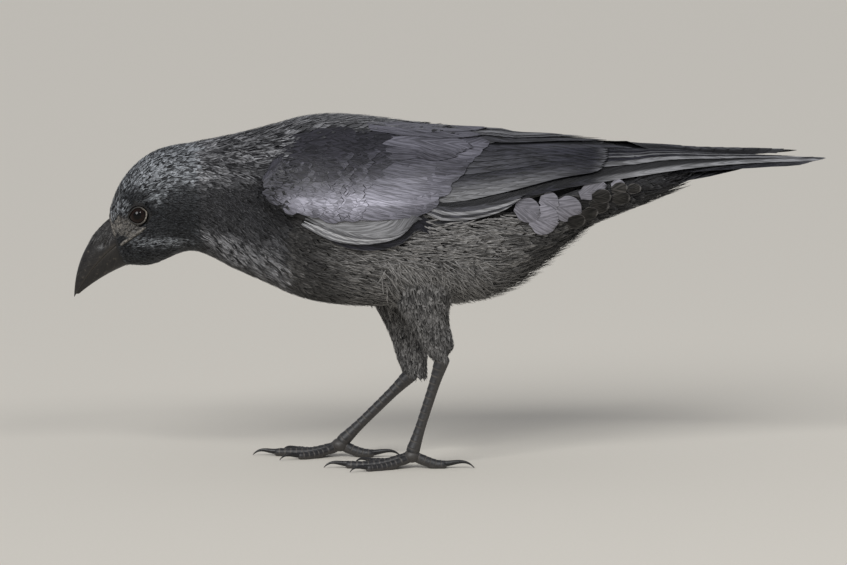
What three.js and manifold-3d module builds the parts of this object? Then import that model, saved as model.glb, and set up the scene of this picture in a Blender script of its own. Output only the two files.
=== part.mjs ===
// Carrion crow (Corvus corone), life size, a still model of the whole bird standing with its head lowered
// and its bill pointing at the ground, as a crow stands to drink.
//
// Millimetres, +Z up. The bill points towards -X, the tail towards +X, and the bird's left side is -Y. The
// toes rest on z = 0. The bird is laid out round its hips, and the finished group is moved along X so that
// the origin is the bottom centre of the bird's bounding box.
//
// The solids are the bird's parts out to the tips of its feathers: a feathered body lofted through rings and
// parted into head, neck and trunk, folded wings in three layers, a closed tail, feathered thighs, bare
// shanks, toes with flat soles, claws, a two-part bill and eyes set in sockets.

import * as THREE from "three";
import { mergeVertices } from "three/addons/utils/BufferGeometryUtils.js";
import Module from "manifold-3d";

const wasm = await Module();
wasm.setup();

// ---------------------------------------------------------------------------------------- driving sizes

const GAP = 0.3; // clearance between neighbouring solids
const LEFT = -1; // the side of the bird towards -Y
const RIGHT = 1;

// The feathered body from the bill's base to the tips of the tail's coverts. Each ring has its place along
// the body, the x and z of its top and of its bottom in the plane of symmetry, and its half width.
const BODY_RINGS = [
  [0, -169.5, 143.0, -162.5, 116.5, 9.6], // base of the bill
  [1, -166.5, 154.5, -153.5, 116.0, 14.5], // lores
  [2, -161.0, 166.0, -145.5, 115.8, 17.6], // brow
  [3, -152.5, 175.8, -137.5, 118.5, 19.3], // front of the crown
  [4, -141.5, 183.1, -129.0, 122.5, 20.2], // crown
  [5, -128.0, 186.6, -120.0, 124.6, 21.0], // back of the head
  [6, -112.0, 189.2, -109.0, 121.0, 23.5], // nape and throat
  [7, -94.0, 192.8, -95.0, 113.5, 28.0], // neck
  [8, -76.0, 197.2, -79.0, 107.0, 34.5], // base of the neck
  [9, -57.0, 202.3, -60.0, 98.3, 41.0], // shoulders
  [10, -36.0, 204.0, -38.0, 93.8, 45.5], // breast
  [11, -12.0, 201.2, -14.0, 92.8, 47.5], // keel
  [12, 12.0, 196.5, 10.0, 93.5, 47.0], // belly
  [13, 36.0, 190.5, 34.0, 96.0, 43.5], // flank
  [14, 60.0, 185.5, 58.5, 101.0, 38.0], // vent
  [15, 84.0, 182.5, 81.5, 117.0, 31.0], // rump
  [16, 108.0, 181.0, 106.0, 137.5, 24.5], // root of the tail
  [17, 132.0, 180.0, 131.0, 148.0, 20.0], // coverts over and under the tail
  [18, 152.0, 178.5, 154.0, 157.0, 15.0],
  [19, 166.0, 175.5, 173.0, 165.5, 7.0], // tips of the coverts
];
const HEAD_FROM = 0;
const NECK_FROM = 5.4; // behind the head
const TRUNK_FROM = 8.3; // in front of the shoulders
const BODY_SIDES = 26;
const RING_FULLNESS = 0.93; // 1 is an ellipse, less is squarer

// The outer face of a folded wing. At each x it is an arc from its top edge, which lies near the middle of
// the back, to its bottom edge: y (outwards) and z of the top edge, of the bottom edge, and the arc's rise.
const WING_RINGS = [
  [-80, 37.0, 170.0, 39.5, 158.0, 1.0], // bend of the wing
  [-66, 30.0, 188.5, 45.0, 149.5, 4.5],
  [-50, 21.5, 198.6, 49.0, 141.0, 10.5],
  [-30, 15.5, 202.4, 51.0, 137.0, 13.5],
  [-10, 11.5, 201.4, 51.5, 138.0, 14.5],
  [12, 9.0, 198.4, 50.5, 144.0, 14.0],
  [36, 6.0, 196.2, 47.0, 147.8, 12.5],
  [62, 4.0, 195.2, 41.5, 154.0, 10.0],
  [93, 3.0, 193.2, 33.0, 163.0, 7.0],
  [120, 3.0, 190.6, 26.0, 167.5, 4.5],
  [145, 3.0, 187.8, 20.5, 172.0, 3.0],
  [175, 3.0, 185.2, 15.5, 176.6, 1.8],
  [210, 4.0, 184.0, 12.5, 179.8, 0.9],
  [232, 5.0, 183.2, 11.0, 180.6, 0.6],
  [262, 6.0, 181.6, 10.0, 180.4, 0.3],
];
const WING_STEPS = 5; // facets from the top edge to the bottom edge
const LEAST_CHORD = 2; // where the wing is narrower than this, its layers grow as if it were this wide
const BLADE_TIP_WIDTH = 0.3; // share of a blade's width that is left at its tip
// The right wing is folded a little tighter than the left one: its quills' tips lie further forward by the
// shift, and higher by the lift.
const WING_SIDES = {
  left: { side: LEFT, shift: 0, lift: 0 },
  right: { side: RIGHT, shift: 15, lift: 2.2 },
};
const LIFT_FROM = 90; // where along the bird the raised tip begins
const LIFT_LENGTH = 70;
const SHIFT_FROM = 110; // from here to the tip the quills are drawn forward, more and more
const SHIFT_LENGTH = 139.4;

// The layers of the folded wing. The coverts and scapulars lie over the quills, whose two groups meet edge
// to edge under them.
const COVERTS = {
  from: -79,
  to: 64,
  thickness: 11,
  edge: 1.3,
  // They end along a line that slopes up and back over the quills, from the bottom edge to the top edge.
  slopeFrom: 4,
  slopePower: 0.8,
  thinFrom: 18, // behind this they are thin over the quills
  bend: { share: 0.25, length: 12 }, // at the bend they start at this share of their full thickness
};
const QUILLS = { depth: 2.7, thickness: 1.8, tipThickness: 0.7 };
// Where each group starts, and where its blades end along the wing: their edges are shares of the way down.
const SECONDARIES = {
  from: 22,
  blades: [
    { to: 134.5, top: 0.0, bottom: 0.38, rounding: 8 },
    { to: 119, top: 0.1, bottom: 0.8, rounding: 4 },
  ],
};
const PRIMARIES = {
  from: 14,
  top: [
    // Their upper edge steps up behind the end of each blade of the secondaries.
    { from: 14, top: 0.83 },
    { from: 120.5, top: 0.43 },
    { from: 136, top: 0.0 },
  ],
  blades: [
    { to: 184, top: 0.0, bottom: 0.7, rounding: 22 },
    { to: 208.5, top: 0.1, bottom: 0.85, rounding: 22 },
    { to: 233, top: 0.2, bottom: 0.95, rounding: 24 },
    { to: 249.4, top: 0.12, bottom: 1.0, rounding: 26 },
  ],
};

// The tail, closed: x, the height of its middle, its half width, and how far its edges hang below its middle.
const TAIL_RINGS = [
  [112, 169.0, 9.0, 6.0],
  [130, 171.5, 12.0, 7.5],
  [152, 174.5, 15.0, 7.5],
  [175, 176.8, 17.0, 6.8],
  [211, 178.3, 19.3, 4.0],
  [248.2, 178.6, 20.5, 1.2],
];
const TAIL = {
  thickness: 2.6,
  tipThickness: 1.0,
  feathersEachSide: 3, // that end one by one at the tail's corners
  stagger: 2.6, // each feather ends this far in front of the one nearer the middle
  corner: 3.5, // how far in from the edge each of those feathers starts
};

// The bill. Both halves run from a place inside the face to the tip.
const BILL_TIP = new THREE.Vector3(-189.1, 0, 96.8);
const CULMEN = new THREE.QuadraticBezierCurve3(
  new THREE.Vector3(-160, 0, 148.5),
  new THREE.Vector3(-188.5, 0, 131.3),
  BILL_TIP,
);
const TOMIUM = new THREE.QuadraticBezierCurve3(
  new THREE.Vector3(-153, 0, 135.8),
  new THREE.Vector3(-174, 0, 125.7),
  BILL_TIP,
);
const GONYS = new THREE.QuadraticBezierCurve3(
  new THREE.Vector3(-148, 0, 119.5),
  new THREE.Vector3(-170, 0, 114.5),
  new THREE.Vector3(-186.3, 0, 99.6),
);
// The lower half's cutting edge lies a gap under the upper one's, and ends short of the hooked tip.
const LOWER_EDGE = new THREE.QuadraticBezierCurve3(
  new THREE.Vector3(-152.6, 0, 134.6),
  new THREE.Vector3(-173.2, 0, 124.6),
  new THREE.Vector3(-187.2, 0, 99.3),
);
const BILL_HALF_WIDTH = 9.2; // at the gape
const BILL_TIP_HALF_WIDTH = 0.35;
const BILL_TAPER = 1.7; // 1 narrows evenly towards the tip, more narrows late
const LOWER_BILL_WIDTH = 0.93; // share of the upper half's width
const BILL_RINGS = 10;

const EYE_RADIUS = 6.2;
const EYE = new THREE.Vector3(-150.8, 14.3, 146.9); // centre, with y outwards

// The legs: x, y (outwards) and z of the feathered thigh's upper end, of the point it bends towards, and of
// the heel, and how far the toes are turned out.
const TARSUS_LENGTH = 62;
const TOE_JOINT_HEIGHT = 7.4;
const LEGS = {
  left: { side: LEFT, hip: [13, 23, 112], bend: [12.4, 23, 90], heel: [25.4, 22, 66.5], turnOut: 0 },
  right: { side: RIGHT, hip: [-4, 23, 112], bend: [3.6, 23, 84], heel: [8.5, 22, 51], turnOut: 6 },
};
// Half sizes of the thigh's rings along and across the bird, from the hip to the heel.
const THIGH_RINGS = [
  [0, 23, 15],
  [0.3, 17.2, 13],
  [0.5, 13.0, 11],
  [0.7, 10.2, 8.6],
  [0.9, 8.8, 6.6],
  [1, 7.0, 5.2],
];
// Share of the way down the shank, its half depth and half width.
const SHANK_RINGS = [
  [0, 5.3, 4.4],
  [0.08, 5.0, 4.1],
  [0.2, 3.7, 3.0],
  [0.5, 3.3, 2.7],
  [0.8, 3.3, 2.8],
  [0.93, 4.3, 3.9],
  [1, 4.4, 4.3],
];
// Angle from straight ahead (outwards positive), length, radius at the root and at the claw, claw length.
const TOES = {
  middle: { angle: 0, length: 38, root: 3.1, end: 2.4, claw: 13 },
  outer: { angle: 27, length: 29, root: 2.8, end: 2.2, claw: 11 },
  inner: { angle: -30, length: 26, root: 2.9, end: 2.3, claw: 12 },
  hind: { angle: 178, length: 20, root: 3.2, end: 2.6, claw: 17 },
};
const TOE_START = 2.5; // from the joint to where a toe's solid begins
const SOLE_SINK = 0.35; // how far the round of a toe is flattened where it stands
// A toe leaves its joint this far under the joint's middle, and is down on the floor after this share of it.
const TOE_ARCH = { drop: 0.6, share: 0.385, power: 0.7 };
// A claw goes out level, climbs to its crest and bends down to its tip. Places and the crest's height are
// shares of its length; depth and width are shares of the toe's end.
const CLAW = {
  rise: { at: 0.25, up: 0.2 },
  crest: { at: 0.75, up: 0.22 },
  tip: { at: 0.92, height: 0.45, halfDepth: 0.28, halfWidth: 0.25 },
  depth: 0.78,
  width: 0.55,
  taper: 1.6,
};

const LOOKS = {
  plumage: { color: 0x232328, roughness: 0.62 },
  quills: { color: 0x2b2b33, roughness: 0.5 },
  bill: { color: 0x2c2d30, roughness: 0.45 },
  eye: { color: 0x17110d, roughness: 0.08 },
  scales: { color: 0x242426, roughness: 0.55 },
  claw: { color: 0x1b1b1d, roughness: 0.4 },
};

// ---------------------------------------------------------------------------------------------- helpers

// A smooth curve through rows of numbers, keyed by each row's first number. It returns the rest of the row
// at any key: cubic pieces whose slope at a row is that of the line between its neighbours.
function curveThrough(rows) {
  const slope = (i, column) => {
    const before = rows[Math.max(i - 1, 0)];
    const after = rows[Math.min(i + 1, rows.length - 1)];
    return (after[column] - before[column]) / (after[0] - before[0]);
  };
  return (key) => {
    let i = 0;
    while (i < rows.length - 2 && key > rows[i + 1][0]) i += 1;
    const span = rows[i + 1][0] - rows[i][0];
    const t = (key - rows[i][0]) / span;
    return rows[i].slice(1).map((_, c) => {
      const column = c + 1;
      const [a, b] = [rows[i][column], rows[i + 1][column]];
      const [slopeA, slopeB] = [slope(i, column) * span, slope(i + 1, column) * span];
      if (t < 0) return a + slopeA * t;
      if (t > 1) return b + slopeB * (t - 1);
      const rise = (3 - 2 * t) * t * t;
      return a + (b - a) * rise + slopeA * t * (1 - t) ** 2 - slopeB * t * t * (1 - t);
    });
  };
}

// Numbers from a to b in equal steps, both ends included.
const spread = (a, b, steps) => Array.from({ length: steps + 1 }, (_, i) => a + ((b - a) * i) / steps);

// A solid skinned over rings of points that all have the same count. Each end is closed by rungs between a
// ring's points and those opposite them, so thin and hollow-curved sections close cleanly too.
function loft(rings) {
  const sides = rings[0].length;
  const triangles = [];
  for (let r = 0; r + 1 < rings.length; r += 1) {
    for (let k = 0; k < sides; k += 1) {
      const a = r * sides + k;
      const b = r * sides + ((k + 1) % sides);
      triangles.push(a, b, b + sides, a, b + sides, a + sides);
    }
  }
  const last = (rings.length - 1) * sides;
  for (let k = 0; k + 1 < sides / 2; k += 1) {
    const opposite = sides - 1 - k;
    triangles.push(k, opposite, opposite - 1, k, opposite - 1, k + 1);
    triangles.push(last + k, last + opposite - 1, last + opposite);
    triangles.push(last + k, last + k + 1, last + opposite - 1);
  }
  return solidFrom(rings.flat(), triangles);
}

// A manifold solid from points and triangles, turned the right way out.
function solidFrom(points, triangles) {
  const cross = new THREE.Vector3();
  let volume = 0;
  for (let i = 0; i < triangles.length; i += 3) {
    const [a, b, c] = [points[triangles[i]], points[triangles[i + 1]], points[triangles[i + 2]]];
    volume += a.dot(cross.crossVectors(b, c));
  }
  if (volume < 0) triangles.reverse();
  const vertProperties = new Float32Array(points.flatMap((p) => [p.x, p.y, p.z]));
  const triVerts = new Uint32Array(triangles);
  return new wasm.Manifold(new wasm.Mesh({ numProp: 3, vertProperties, triVerts }));
}

// A manifold solid from a three.js geometry.
function solidOf(geometry) {
  const bare = geometry.clone();
  bare.deleteAttribute("normal");
  bare.deleteAttribute("uv");
  const merged = mergeVertices(bare, 1e-3);
  const place = merged.getAttribute("position");
  const pointAt = (_, i) => new THREE.Vector3().fromBufferAttribute(place, i);
  const points = Array.from({ length: place.count }, pointAt);
  return solidFrom(points, Array.from(merged.index.array));
}

// The largest of the pieces that a cut leaves.
function largest(solid) {
  return solid.decompose().sort((a, b) => b.volume() - a.volume())[0];
}

function minus(solid, ...cutters) {
  return largest(cutters.reduce((rest, cutter) => rest.subtract(cutter), solid));
}

const group = new THREE.Group();

function addPart(name, solid, look) {
  const { vertProperties, triVerts } = solid.getMesh();
  const geometry = new THREE.BufferGeometry();
  geometry.setAttribute("position", new THREE.BufferAttribute(vertProperties, 3));
  geometry.setIndex(new THREE.BufferAttribute(triVerts, 1));
  const mesh = new THREE.Mesh(geometry, new THREE.MeshStandardMaterial({ ...LOOKS[look], metalness: 0 }));
  mesh.name = name;
  group.add(mesh);
}

// ------------------------------------------------------------------------------------------------- body

const bodyRow = curveThrough(BODY_RINGS);

// A ring of the body, grown outwards by grow: an ellipse, slightly squared, between its top and its bottom.
function bodyRing(along, grow = 0) {
  const [topX, topZ, bottomX, bottomZ, halfWidth] = bodyRow(along);
  const middle = new THREE.Vector3((topX + bottomX) / 2, 0, (topZ + bottomZ) / 2);
  const up = new THREE.Vector3((topX - bottomX) / 2, 0, (topZ - bottomZ) / 2);
  up.setLength(up.length() + grow);
  const power = (v) => Math.sign(v) * Math.abs(v) ** RING_FULLNESS;
  return spread(0, BODY_SIDES - 1, BODY_SIDES - 1).map((k) => {
    const angle = (2 * Math.PI * (k + 0.5)) / BODY_SIDES;
    const point = middle.clone().addScaledVector(up, power(Math.cos(angle)));
    point.y = (halfWidth + grow) * power(Math.sin(angle));
    return point;
  });
}

const bodySolid = (places, grow = 0) => loft(places.map((along) => bodyRing(along, grow)));

const PART_CUT = 0.012; // half of the gap between two parts of the body, in rings
const CUTTER_FROM = -0.03; // the body that cuts its neighbours reaches past both ends, in rings
const CUTTER_PAST = 0.05;
const BODY_END = BODY_RINGS.length - 1;
const headPlaces = spread(HEAD_FROM, NECK_FROM - PART_CUT, 12);
const neckPlaces = spread(NECK_FROM + PART_CUT, TRUNK_FROM - PART_CUT, 4);
const trunkPlaces = spread(TRUNK_FROM + PART_CUT, BODY_END, 19);
const cutterPlaces = [CUTTER_FROM, ...headPlaces, ...neckPlaces, ...trunkPlaces, BODY_END + CUTTER_PAST];
const grownBody = bodySolid(cutterPlaces, GAP);

// ------------------------------------------------------------------------------------------------- bill

// Half of a bill's section: shares of the half width and of the way from the cutting edge to the ridge.
const UPPER_SECTION = [
  [0.2, 0.99],
  [0.55, 0.85],
  [0.84, 0.55],
  [1.0, 0.12],
  [0.75, 0],
];
const LOWER_SECTION = [
  [0.28, 0.98],
  [0.68, 0.8],
  [0.92, 0.45],
  [0.97, 0.1],
  [0.7, 0],
];

// Half of the bill, between its ridge and its cutting edge, grown by grow below the edge and at the tip.
function billHalf(ridge, edge, section, widthScale, grow = 0) {
  const rings = spread(0, 1, BILL_RINGS).map((t) => {
    const [top, low] = [ridge.getPoint(t), edge.getPoint(t)];
    const ahead = edge.getTangent(t).multiplyScalar(grow * t);
    low.addScaledVector(top.clone().sub(low).normalize(), -grow).add(ahead);
    top.add(ahead);
    const halfWidth = widthScale * BILL_HALF_WIDTH * (1 - t ** BILL_TAPER) + BILL_TIP_HALF_WIDTH + grow;
    const half = section.map(([out, up]) => {
      const point = low.clone().lerp(top, up);
      point.y = out * halfWidth;
      return point;
    });
    const other = half.map((p) => new THREE.Vector3(p.x, -p.y, p.z)).reverse();
    return [...half, ...other];
  });
  return loft(rings);
}

const upperBill = (grow) => billHalf(CULMEN, TOMIUM, UPPER_SECTION, 1, grow);
const lowerBill = billHalf(GONYS, LOWER_EDGE, LOWER_SECTION, LOWER_BILL_WIDTH);
addPart("bill_upper", minus(upperBill(0), grownBody), "bill");
addPart("bill_lower", minus(lowerBill, upperBill(GAP), grownBody), "bill");

// ----------------------------------------------------------------------------------- head, neck, trunk

function eyeball(side, grow = 0) {
  const ball = new THREE.SphereGeometry(EYE_RADIUS + grow, 12, 8);
  ball.rotateX(Math.PI / 2);
  ball.translate(EYE.x, side * EYE.y, EYE.z);
  return solidOf(ball);
}

addPart("eye_left", eyeball(LEFT), "eye");
addPart("eye_right", eyeball(RIGHT), "eye");
addPart("head", minus(bodySolid(headPlaces), eyeball(LEFT, GAP), eyeball(RIGHT, GAP)), "plumage");
addPart("neck", bodySolid(neckPlaces), "plumage");

// ------------------------------------------------------------------------------------------------- tail

const TAIL_FROM = TAIL_RINGS[0][0];
const TAIL_TO = TAIL_RINGS[TAIL_RINGS.length - 1][0];
const tailRow = curveThrough(TAIL_RINGS);

// How far the tail's outline lies inside its full width at x: it steps in where the outer feathers end.
function cornerCut(x) {
  const ended = (x - TAIL_TO) / TAIL.stagger + TAIL.feathersEachSide;
  const steps = Math.floor(ended) + Math.sqrt(Math.max(0, ended % 1));
  return TAIL.corner * Math.max(0, steps);
}

function tailSolid(grow = 0) {
  const stepCount = 2 * TAIL.feathersEachSide;
  const tipPlaces = spread(TAIL_TO - TAIL.stagger * TAIL.feathersEachSide, TAIL_TO, stepCount);
  const places = [...spread(TAIL_FROM - grow, tipPlaces[0] - TAIL.stagger, 5), ...tipPlaces];
  places[places.length - 1] += grow;
  const rings = places.map((x) => {
    const [height, full, droop] = tailRow(x);
    const along = (x - TAIL_FROM) / (TAIL_TO - TAIL_FROM);
    const thickness = THREE.MathUtils.lerp(TAIL.thickness, TAIL.tipThickness, along);
    const half = full - cornerCut(Math.min(x, TAIL_TO)) + grow;
    const upper = spread(-half, half, 6).map(
      (y) => new THREE.Vector3(x, y, height - droop * (y / full) ** 2 + grow),
    );
    const lower = upper.map((p) => new THREE.Vector3(p.x, p.y, p.z - thickness - 2 * grow));
    return [...upper, ...lower.reverse()];
  });
  return loft(rings);
}

const grownTail = tailSolid(GAP);
addPart("trunk", minus(bodySolid(trunkPlaces), grownTail), "plumage");
addPart("tail", tailSolid(), "quills");

// ------------------------------------------------------------------------------------------------ wings

const wingRow = curveThrough(WING_RINGS);

// A point of a wing's outer face: x along the bird, down from 0 at the top edge to 1 at the bottom edge,
// and how deep it lies under that face.
function wingPoint({ side, shift, lift }, x, down, depth) {
  const [topY, topZ, bottomY, bottomZ, rise] = wingRow(x);
  const chord = new THREE.Vector3(0, bottomY - topY, bottomZ - topZ);
  const out = new THREE.Vector3(0, -chord.z, chord.y).normalize();
  const point = new THREE.Vector3(x, topY, topZ).addScaledVector(chord, down);
  point.addScaledVector(out, rise * 4 * down * (1 - down) - depth);
  point.z += lift * THREE.MathUtils.smoothstep(x, LIFT_FROM, LIFT_FROM + LIFT_LENGTH);
  point.x -= shift * THREE.MathUtils.smoothstep(x, SHIFT_FROM, SHIFT_FROM + SHIFT_LENGTH);
  point.y *= side;
  return point;
}

// One layer of the wing: top and bottom give its edges at each x, as shares of the way down.
function wingPanel(wing, places, { depth, top, bottom, thickness }, grow = 0) {
  const rings = places.map((place, i) => {
    const x = i === 0 ? place - grow : i === places.length - 1 ? place + grow : place;
    const [topY, topZ, bottomY, bottomZ] = wingRow(place);
    const margin = grow / Math.max(LEAST_CHORD, Math.hypot(bottomY - topY, bottomZ - topZ));
    const downs = spread(top(place) - margin, bottom(place) + margin, WING_STEPS);
    const outer = downs.map((down) => wingPoint(wing, x, down, depth - grow));
    const inner = downs.map((down, k) => {
      const under = thickness(place, k / WING_STEPS);
      return wingPoint(wing, x, down, depth + under + grow);
    });
    return [...outer, ...inner.reverse()];
  });
  return loft(rings);
}

function covertsSolid({ side }) {
  const { from, to, thickness, edge, slopeFrom, slopePower, thinFrom, bend } = COVERTS;
  const sloped = (x) => Math.max(0, (x - slopeFrom) / (to - slopeFrom)) ** slopePower;
  const nose = (x) => Math.min(1, bend.share + (x - from) / bend.length);
  const full = (x) => (x < thinFrom ? 1 : 0);
  const panel = {
    depth: 0,
    top: () => 0,
    bottom: (x) => 1 - 0.95 * sloped(x),
    thickness: (x, k) => edge + (thickness - edge) * Math.sin(Math.PI * k) ** 0.6 * nose(x) * full(x),
  };
  const places = [...spread(from, slopeFrom, 7), thinFrom - 1, ...spread(thinFrom, to, 4)];
  return wingPanel({ side, shift: 0, lift: 0 }, places, panel);
}

// The edges of a layer of blades that lie over each other, as shares of the way down. Each blade's edges
// draw together over its last stretch, as a feather's vane does at its tip, and the next longer one goes on.
function bladeEdges(blades, x) {
  const edges = blades
    .filter((blade) => x <= blade.to)
    .map(({ to, top, bottom, rounding }) => {
      const middle = (top + bottom) / 2;
      const round = Math.sqrt(1 - Math.max(0, 1 - (to - x) / rounding) ** 2);
      const width = THREE.MathUtils.lerp(BLADE_TIP_WIDTH, 1, round);
      return [middle + (top - middle) * width, middle + (bottom - middle) * width];
    });
  return [Math.min(...edges.map(([top]) => top)), Math.max(...edges.map(([, bottom]) => bottom))];
}

function quillsSolid(wing, { from, top = [{ from, top: 0 }], blades }) {
  const end = Math.max(...blades.map((blade) => blade.to));
  const tips = blades.flatMap(({ to, rounding }) => [to - rounding / 2, to - rounding / 8, to, to + 1]);
  const steps = top.slice(1).flatMap((step) => [step.from - 0.7, step.from]);
  const special = [...tips.filter((x) => x <= end), ...steps];
  const places = [...spread(from, Math.min(...special) - 4, 4), ...special].sort((a, b) => a - b);
  const limit = (x) => top.filter((step, i) => i === 0 || step.from <= x).at(-1).top;
  const panel = {
    depth: QUILLS.depth,
    top: (x) => Math.max(limit(x), bladeEdges(blades, x)[0]),
    bottom: (x) => bladeEdges(blades, x)[1],
    thickness: (x) => THREE.MathUtils.lerp(QUILLS.thickness, QUILLS.tipThickness, (x - from) / (end - from)),
  };
  return wingPanel(wing, places, panel);
}

for (const [name, wing] of Object.entries(WING_SIDES)) {
  addPart(`wing_${name}`, minus(covertsSolid(wing), grownBody), "plumage");
  addPart(`secondaries_${name}`, minus(quillsSolid(wing, SECONDARIES), grownBody, grownTail), "quills");
  addPart(`primaries_${name}`, minus(quillsSolid(wing, PRIMARIES), grownBody, grownTail), "quills");
}

// ------------------------------------------------------------------------------------------------- legs

// Elliptical rings square to a path, whose across direction stays level.
function limbRings(points, sizes, across, sides = 10) {
  return points.map((point, i) => {
    const ahead = points[Math.min(i + 1, points.length - 1)].clone().sub(points[Math.max(i - 1, 0)]);
    const up = new THREE.Vector3().crossVectors(across, ahead).normalize();
    const [halfDepth, halfWidth] = sizes[i];
    return spread(0, sides - 1, sides - 1).map((k) => {
      const angle = (2 * Math.PI * (k + 0.5)) / sides;
      const ringPoint = point.clone().addScaledVector(up, halfDepth * Math.cos(angle));
      return ringPoint.addScaledVector(across, halfWidth * Math.sin(angle));
    });
  });
}

const ACROSS = new THREE.Vector3(0, 1, 0);

const onSide = (side, [x, y, z]) => new THREE.Vector3(x, side * y, z);

function thigh({ side, hip, bend, heel }, grow = 0) {
  const path = new THREE.QuadraticBezierCurve3(onSide(side, hip), onSide(side, bend), onSide(side, heel));
  const sizes = curveThrough(THIGH_RINGS);
  const shares = spread(0, 1, 7);
  const points = shares.map((share) => path.getPoint(share));
  return loft(limbRings(points, shares.map((share) => sizes(share).map((half) => half + grow)), ACROSS, 12));
}

function toeJoint({ side, heel }) {
  const drop = heel[2] - TOE_JOINT_HEIGHT;
  const lean = Math.sqrt(TARSUS_LENGTH ** 2 - drop ** 2);
  return new THREE.Vector3(heel[0] - lean, side * heel[1], TOE_JOINT_HEIGHT);
}

function shank(leg, grow = 0) {
  const path = new THREE.LineCurve3(onSide(leg.side, leg.heel), toeJoint(leg));
  const sizes = curveThrough(SHANK_RINGS);
  const shares = spread(0, 1, 10);
  const points = shares.map((share) => path.getPoint(share));
  return loft(limbRings(points, shares.map((share) => sizes(share).map((half) => half + grow)), ACROSS, 10));
}

// Ring points that fall below the floor are laid on it, which gives the toes and claws their flat soles.
function onFloor(rings) {
  rings.flat().forEach((point) => point.setZ(Math.max(point.z, 0)));
  return rings;
}

function toeDirection(leg, toe) {
  const angle = THREE.MathUtils.degToRad(toe.angle + leg.turnOut);
  return new THREE.Vector3(-Math.cos(angle), leg.side * Math.sin(angle), 0);
}

// A toe steps down from its joint in a low arch and lies along the floor.
function toeSolid(leg, toe, grow = 0) {
  const ahead = toeDirection(leg, toe);
  const across = new THREE.Vector3(-ahead.y, ahead.x, 0);
  const foot = toeJoint(leg);
  const shares = spread(0, 1, 7);
  const radius = (share) => THREE.MathUtils.lerp(toe.root, toe.end, share);
  const points = shares.map((share) => {
    const reach = THREE.MathUtils.lerp(TOE_START - grow, toe.length, share);
    const down = Math.min(1, share / TOE_ARCH.share) ** TOE_ARCH.power;
    const point = foot.clone().addScaledVector(ahead, reach);
    point.z = THREE.MathUtils.lerp(foot.z - TOE_ARCH.drop, radius(share) - SOLE_SINK, down);
    return point;
  });
  const sizes = shares.map((share) => [radius(share) + grow, radius(share) + grow]);
  const rings = limbRings(points, sizes, across, 8);
  return loft(grow > 0 ? rings : onFloor(rings));
}

function clawSolid(leg, toe) {
  const ahead = toeDirection(leg, toe);
  const across = new THREE.Vector3(-ahead.y, ahead.x, 0);
  const root = toeJoint(leg).addScaledVector(ahead, toe.length + 2 * GAP);
  root.z = toe.end;
  const point = (share, height) => root.clone().addScaledVector(ahead, toe.claw * share).setZ(height);
  const rise = point(CLAW.rise.at, toe.end + CLAW.rise.up);
  const crest = point(CLAW.crest.at, toe.end + toe.claw * CLAW.crest.up);
  const path = new THREE.CubicBezierCurve3(root, rise, crest, point(CLAW.tip.at, CLAW.tip.height));
  const shares = spread(0, 1, 5);
  const points = shares.map((share) => path.getPoint(share));
  const sizes = shares.map((share) => {
    const taper = toe.end * (1 - share ** CLAW.taper);
    return [CLAW.depth * taper + CLAW.tip.halfDepth, CLAW.width * taper + CLAW.tip.halfWidth];
  });
  return loft(onFloor(limbRings(points, sizes, across, 6)));
}

for (const [name, leg] of Object.entries(LEGS)) {
  addPart(`thigh_${name}`, minus(thigh(leg), grownBody, shank(leg, GAP)), "plumage");
  addPart(`shank_${name}`, shank(leg), "scales");
  const taken = [shank(leg, GAP)];
  for (const [toeName, toe] of Object.entries(TOES)) {
    addPart(`toe_${toeName}_${name}`, minus(toeSolid(leg, toe), ...taken), "scales");
    addPart(`claw_${toeName}_${name}`, clawSolid(leg, toe), "claw");
    taken.push(toeSolid(leg, toe, GAP));
  }
}

// --------------------------------------------------------------------------------------------- placing

const bounds = new THREE.Box3().setFromObject(group);
const middle = bounds.getCenter(new THREE.Vector3());
group.position.set(-middle.x, -middle.y, -bounds.min.z);

export default group;
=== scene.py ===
# %% [markdown]
# # A carrion crow, life size, bent down to drink
#
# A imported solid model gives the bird's parts at their real size. This script dresses them: one skin instead
# of the solids of flesh, about six thousand feathers and nineteen thousand loose barbs, a horny bill, wet
# eyes and scaly legs. Every surface is worked out with numpy as a function of two numbers.

import bpy
import numpy as np
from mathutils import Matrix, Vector
from mathutils.bvhtree import BVHTree


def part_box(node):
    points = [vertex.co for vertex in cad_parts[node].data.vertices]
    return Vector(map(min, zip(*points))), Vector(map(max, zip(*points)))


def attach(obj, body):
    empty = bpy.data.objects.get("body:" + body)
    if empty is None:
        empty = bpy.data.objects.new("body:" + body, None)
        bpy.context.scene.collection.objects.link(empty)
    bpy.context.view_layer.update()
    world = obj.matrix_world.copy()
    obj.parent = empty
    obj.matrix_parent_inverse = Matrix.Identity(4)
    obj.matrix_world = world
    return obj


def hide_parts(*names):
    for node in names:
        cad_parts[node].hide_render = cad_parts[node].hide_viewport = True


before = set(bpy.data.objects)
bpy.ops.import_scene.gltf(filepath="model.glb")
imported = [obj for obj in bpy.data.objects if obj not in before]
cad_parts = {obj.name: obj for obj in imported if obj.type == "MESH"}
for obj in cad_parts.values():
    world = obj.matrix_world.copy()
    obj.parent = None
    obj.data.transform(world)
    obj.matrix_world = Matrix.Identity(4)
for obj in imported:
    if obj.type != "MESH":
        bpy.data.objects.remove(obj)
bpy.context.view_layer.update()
MM = 0.001  # the frame is in metres, and the sizes below are in millimetres
rng = np.random.default_rng(11)

# %% [markdown]
# ## Measuring the solids
#
# The skin and every feather have to lie on the bird's real outline, so they start from measurements of the
# solids. A line is drawn from outside towards the middle of the body, and where it first meets a solid is a
# point of the outline. Doing that on a regular grid of lines gives a surface with two parameters, which is
# easier to smooth, to shrink and to walk on than loose triangles are.

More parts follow.
